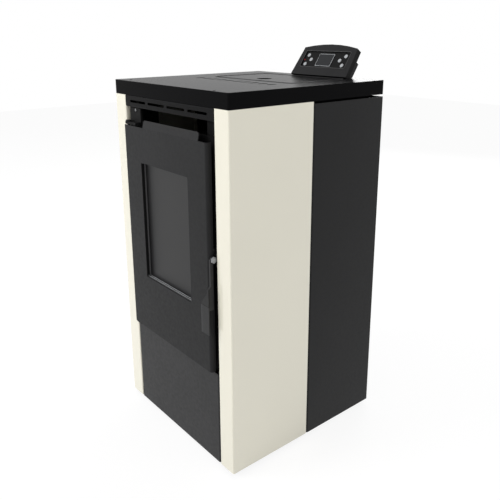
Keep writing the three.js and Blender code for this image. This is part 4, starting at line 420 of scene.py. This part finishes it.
def turned(bm, centre, axes, profile, count=24):
    """A closed body of rings: profile is a list of (height, radius, hexagon)."""
    rings = [ring_of(bm, centre, axes, h, r, count, hexa) for h, r, hexa in profile]
    for low_ring, high_ring in zip(rings, rings[1:]):
        bridge(bm, low_ring, high_ring)
    bm.faces.new(reversed(rings[0]))
    bm.faces.new(rings[-1])


def rounded(left, right, low, high, corner):
    """Points round a rectangle with round corners, anticlockwise."""
    centres = ((right - corner, high - corner), (left + corner, high - corner),
               (left + corner, low + corner), (right - corner, low + corner))
    points = []
    for quarter, (x, y) in enumerate(centres):
        for step in range(CORNER_STEPS):
            turn = math.radians(90 * (quarter + step / (CORNER_STEPS - 1)))
            points.append((x + corner * math.cos(turn), y + corner * math.sin(turn)))
    return points


def sweep_loop(bm, points, normal, half_width, half_height):
    """A closed bead along the points, on the plane with this normal."""
    rings = []
    for i, point in enumerate(points):
        along = (points[(i + 1) % len(points)] - points[i - 1]).normalized()
        out = along.cross(normal)
        ring = []
        for k in range(BEAD_SIDES):
            turn = 2 * math.pi * k / BEAD_SIDES
            sideways = out * half_width * math.cos(turn)
            upward = normal * half_height * math.sin(turn)
            ring.append(bm.verts.new(point + sideways + upward))
        rings.append(ring)
    for i, ring in enumerate(rings):
        bridge(bm, ring, rings[(i + 1) % len(rings)])


def socket_screw(bm, centre, axes, radius, height):
    """A low round head with a hexagon recess."""
    hexagon = radius * 0.5
    turned(bm, centre, axes, [
        (-height * 0.2, radius, False), (height * 0.45, radius, False), (height * 0.85, radius * 0.9, False),
        (height, radius * 0.72, False), (height, hexagon, True), (height * 0.25, hexagon, True),
    ])


def screws(name, places, normal, material, body, radius, height):
    """Screw heads at places in millimetres, in one piece."""
    axes = facing_frame(normal)

    def build(bm):
        for place in places:
            socket_screw(bm, at(*place), axes, radius, height)
    obj = add_mesh(name, build, material, body)
    obj.modifiers.new("edge", "BEVEL").width = SCREW_BEVEL


# Faces that screws sit on, and the middles of the flue and the inlet, in millimetres.
TOP_FACE = 760
BACK_FACE = 200.7
FLUE_FLANGE_FACE = 204
INLET_FACE = 203
BRACKET_FACE = -196.9
RETAINER_FACE = -195.6
FLUE_X = -88
INLET_X = 118
UPWARD, BACKWARD, FORWARD = (0, 0, 1), (0, 1, 0), (0, -1, 0)


def add_screws():
    places = [(-163, -184, TOP_FACE), (149, -194, TOP_FACE)]
    screws("top_plate_screws", places, UPWARD, BLACK, "stove", radius=0.0035, height=0.0004)
    places = [(x, BACK_FACE, z) for x in (-186, 186) for z in (40, 260, 480, 700)]
    screws("back_panel_screws", places, BACKWARD, BLACK, "stove", radius=0.004, height=0.0018)
    places = [(FLUE_X + aside, FLUE_FLANGE_FACE, 116) for aside in (-38, 38)]
    screws("flue_flange_screws", places, BACKWARD, ZINC, "stove", radius=0.0035, height=0.002)
    places = [(INLET_X, INLET_FACE, z) for z in (34.8, 97.2)]
    screws("power_inlet_screws", places, BACKWARD, ZINC, "stove", radius=0.0013, height=0.0006)
    places = [(-125, BRACKET_FACE, 700.6)]
    screws("hinge_bracket_screw", places, FORWARD, STEEL, "stove", radius=0.0028, height=0.0014)
    places = [(x, RETAINER_FACE, z) for x in (-97, 94) for z in (370, 470, 570)]
    places += [(x, RETAINER_FACE, z) for x in (-60, 57) for z in (333.8, 607.2)]
    screws("glass_retainer_screws", places, BACKWARD, ZINC, "door", radius=0.0014, height=0.001)


add_screws()


# Painted highlights: bright silver rods standing in for the light caught by the window's edges.
HIGHLIGHT_LINE_LEFT, HIGHLIGHT_LINE_RIGHT = -86.2, 83.2
HIGHLIGHT_LINE_RADIUS = 0.00038
HIGHLIGHT_LINE_TAPER = 0.0004
HIGHLIGHT_LINE_PLACES = ((-202.75, 344.5), (-207.2, 344.5), (-202.75, 596.5))


def add_window_highlight_lines():
    """Thin bright rods along the foot and the top of the window before the glass: painted highlights on the
    edges there.
    """
    length = (HIGHLIGHT_LINE_RIGHT - HIGHLIGHT_LINE_LEFT) / 1000
    profile = [
        (0, HIGHLIGHT_LINE_RADIUS * 0.6, False), (HIGHLIGHT_LINE_TAPER, HIGHLIGHT_LINE_RADIUS, False),
        (length - HIGHLIGHT_LINE_TAPER, HIGHLIGHT_LINE_RADIUS, False), (length, HIGHLIGHT_LINE_RADIUS * 0.6, False),
    ]

    def build(bm):
        axes = facing_frame((1, 0, 0))
        for y, z in HIGHLIGHT_LINE_PLACES:
            turned(bm, at(HIGHLIGHT_LINE_LEFT, y, z), axes, profile, count=10)
    add_mesh("window_painted_highlights", build, SILVER, "door")


add_window_highlight_lines()


LID_EDGE_INSET = 0.0016
LID_CORNER = 0.014


def add_lid_edge():
    """The rolled edge of the hopper lid, which stands a little above the top plate."""
    low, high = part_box("hopper_lid")
    inset = LID_EDGE_INSET
    left, right, front, back = low[0] + inset, high[0] - inset, low[1] + inset, high[1] - inset
    outline = rounded(left, right, front, back, LID_CORNER - inset)

    def build(bm):
        points = [Vector((x, y, TOP_FACE / 1000)) for x, y in outline]
        sweep_loop(bm, points, Vector(UPWARD), half_width=0.0009, half_height=0.0008)
    add_mesh("lid_edge", build, BLACK, "lid")


add_lid_edge()


# Control console: foot and local axes of its sloping face, as in the solids.
CONSOLE_FOOT = (41.5, 164, TOP_FACE)
TILT = math.radians(54.7)
CONSOLE_X = Vector((1, 0, 0))
CONSOLE_Y = Vector((0, math.cos(TILT), math.sin(TILT)))
CONSOLE_Z = Vector((0, -math.sin(TILT), math.cos(TILT)))


def on_console(x, y, z):
    """A place in millimetres across, up and out from the foot of the console's face."""
    return at(*CONSOLE_FOOT) + (CONSOLE_X * x + CONSOLE_Y * y + CONSOLE_Z * z) / 1000


FILM_TONE = 0.2
FILM_DEPTH = (0.0016, 0.0012)  # below the face, where the film's tone ends and the plastic's begins


def film_plastic():
    """Bezel plastic whose sunk panel carries a darker film."""
    s = Surface("bezel_plastic", "#282829", 0.4, 0.0, 0.09)
    depth = s.node("ShaderNodeVectorMath", operation="DOT_PRODUCT")
    depth.inputs[1].default_value = CONSOLE_Z
    s.link(s.place, depth.inputs[0])
    face = on_console(0, 0, 0).dot(CONSOLE_Z)
    s.tones(s.noise(30.0, 3.0), (0.3, 0.94), (0.7, 1.06))
    deepest, shallowest = FILM_DEPTH
    s.scale_colour(s.spread(depth.outputs["Value"], FILM_TONE, 1.0, face - deepest, face - shallowest))
    s.rough(s.noise(300.0, 2.0), 0.36, 0.45)
    s.bump(s.noise(1800.0, 2.0), 0.00004, 0.5)
    return s.material


LAMP_PLACE = (-63, 43.5, -2)
LAMP_PROFILE = [
    (-0.0005, 0.0014, False), (0.0006, 0.0014, False), (0.0011, 0.001, False), (0.0013, 0.0004, False),
]
# On the console's face, in millimetres: left, right, low, high; then out of the face.
PANE = (-21.6, 21.6, 29.3, 58.5)
PANE_FACE = -0.6
PANE_THICKNESS = 0.12
PANEL_RIM = (-67.6, 67.6, 24.4, 66.1)
PANEL_RIM_CORNER = 4.0
PANEL_RIM_RISE = 0.1


def add_console_details():
    set_material(NODES["console_bezel"], film_plastic())
    axes = (CONSOLE_X, CONSOLE_Y, CONSOLE_Z)

    def lamp(bm):
        turned(bm, on_console(*LAMP_PLACE), axes, LAMP_PROFILE, count=16)
    add_mesh("console_lamp", lamp, RED, "stove")

    def glass(bm):
        left, right, low, high = PANE
        corners = [(left, low), (right, low), (right, high), (left, high)]
        outer = [bm.verts.new(on_console(x, y, PANE_FACE)) for x, y in corners]
        inner = [bm.verts.new(on_console(x, y, PANE_FACE - PANE_THICKNESS)) for x, y in corners]
        bm.faces.new(outer)
        bm.faces.new(reversed(inner))
        bridge(bm, inner, outer)
    add_mesh("display_glass", glass, LCD, "stove", smooth=False)

    def rim(bm):
        points = [on_console(x, y, PANEL_RIM_RISE) for x, y in rounded(*PANEL_RIM, PANEL_RIM_CORNER)]
        sweep_loop(bm, points, CONSOLE_Z, half_width=0.00055, half_height=0.00033)
    add_mesh("console_panel_rim", rim, RIM, "stove")


add_console_details()


# ---------------------------------------------------------------- stage

FLOOR_REACH = 6
FLOOR_WHITE = 0.92
FLOOR_GLOW = 1.09
GLOW_SHARE = 0.8  # the rest keeps the object's shadow
WORLD_LIGHT = 0.45
WORLD_WHITE = 1.0


def seen_straight(tree):
    """1 for camera, glossy and transmission rays, and 0 for the rays that light the object."""
    path = tree.nodes.new("ShaderNodeLightPath")
    last = path.outputs["Is Camera Ray"]
    for kind in ("Is Glossy Ray", "Is Transmission Ray"):
        either = tree.nodes.new("ShaderNodeMath")
        either.operation = "MAXIMUM"
        tree.links.new(last, either.inputs[0])
        tree.links.new(path.outputs[kind], either.inputs[1])
        last = either.outputs[0]
    return last


def make_stage():
    reach = FLOOR_REACH
    floor = bpy.data.meshes.new("floor")
    corners = [(-reach, -reach, 0), (reach, -reach, 0), (reach, reach, 0), (-reach, reach, 0)]
    floor.from_pydata(corners, [], [(0, 1, 2, 3)])
    obj = bpy.data.objects.new("floor", floor)
    bpy.context.scene.collection.objects.link(obj)
    material = bpy.data.materials.new("floor_white")
    material.use_nodes = True
    tree = material.node_tree
    shader = tree.nodes["Principled BSDF"]
    shader.inputs["Base Color"].default_value = (FLOOR_WHITE, FLOOR_WHITE, FLOOR_WHITE, 1)
    shader.inputs["Roughness"].default_value = 0.9
    glow = tree.nodes.new("ShaderNodeEmission")
    glow.inputs["Color"].default_value = (1, 1, 1, 1)
    glow.inputs["Strength"].default_value = FLOOR_GLOW
    share = tree.nodes.new("ShaderNodeMath")
    share.operation = "MULTIPLY"
    share.inputs[1].default_value = GLOW_SHARE
    tree.links.new(seen_straight(tree), share.inputs[0])
    mix = tree.nodes.new("ShaderNodeMixShader")
    tree.links.new(share.outputs[0], mix.inputs["Fac"])
    tree.links.new(shader.outputs["BSDF"], mix.inputs[1])
    tree.links.new(glow.outputs["Emission"], mix.inputs[2])
    tree.links.new(mix.outputs["Shader"], tree.nodes["Material Output"].inputs["Surface"])
    floor.materials.append(material)


def make_world():
    world = bpy.data.worlds.new("studio")
    bpy.context.scene.world = world
    world.use_nodes = True
    tree = world.node_tree
    tree.nodes.clear()
    mix = tree.nodes.new("ShaderNodeMixShader")
    tree.links.new(seen_straight(tree), mix.inputs["Fac"])
    for place, strength in ((1, WORLD_LIGHT), (2, WORLD_WHITE)):
        background = tree.nodes.new("ShaderNodeBackground")
        background.inputs["Color"].default_value = (1, 1, 1, 1)
        background.inputs["Strength"].default_value = strength
        tree.links.new(background.outputs[0], mix.inputs[place])
    out = tree.nodes.new("ShaderNodeOutputWorld")
    tree.links.new(mix.outputs[0], out.inputs["Surface"])


LAMP_AIM = (0, 0, 0.4)


def add_lamp(name, place, size, power):
    """A square lamp, in metres and watts, that points at the middle of the object."""
    data = bpy.data.lights.new(name, "AREA")
    data.shape = "SQUARE"
    data.size = size
    data.energy = power
    lamp = bpy.data.objects.new(name, data)
    bpy.context.scene.collection.objects.link(lamp)
    lamp.location = Vector(place)
    lamp.rotation_mode = "QUATERNION"
    lamp.rotation_quaternion = (Vector(LAMP_AIM) - Vector(place)).to_track_quat("-Z", "Y")


make_stage()
make_world()
add_lamp("key", (-1.4, -2.8, 1.7), size=1.6, power=54)
add_lamp("side", (2.6, -0.6, 1.5), size=1.8, power=13)
add_lamp("rear", (-1.2, 2.4, 1.6), size=1.6, power=30)
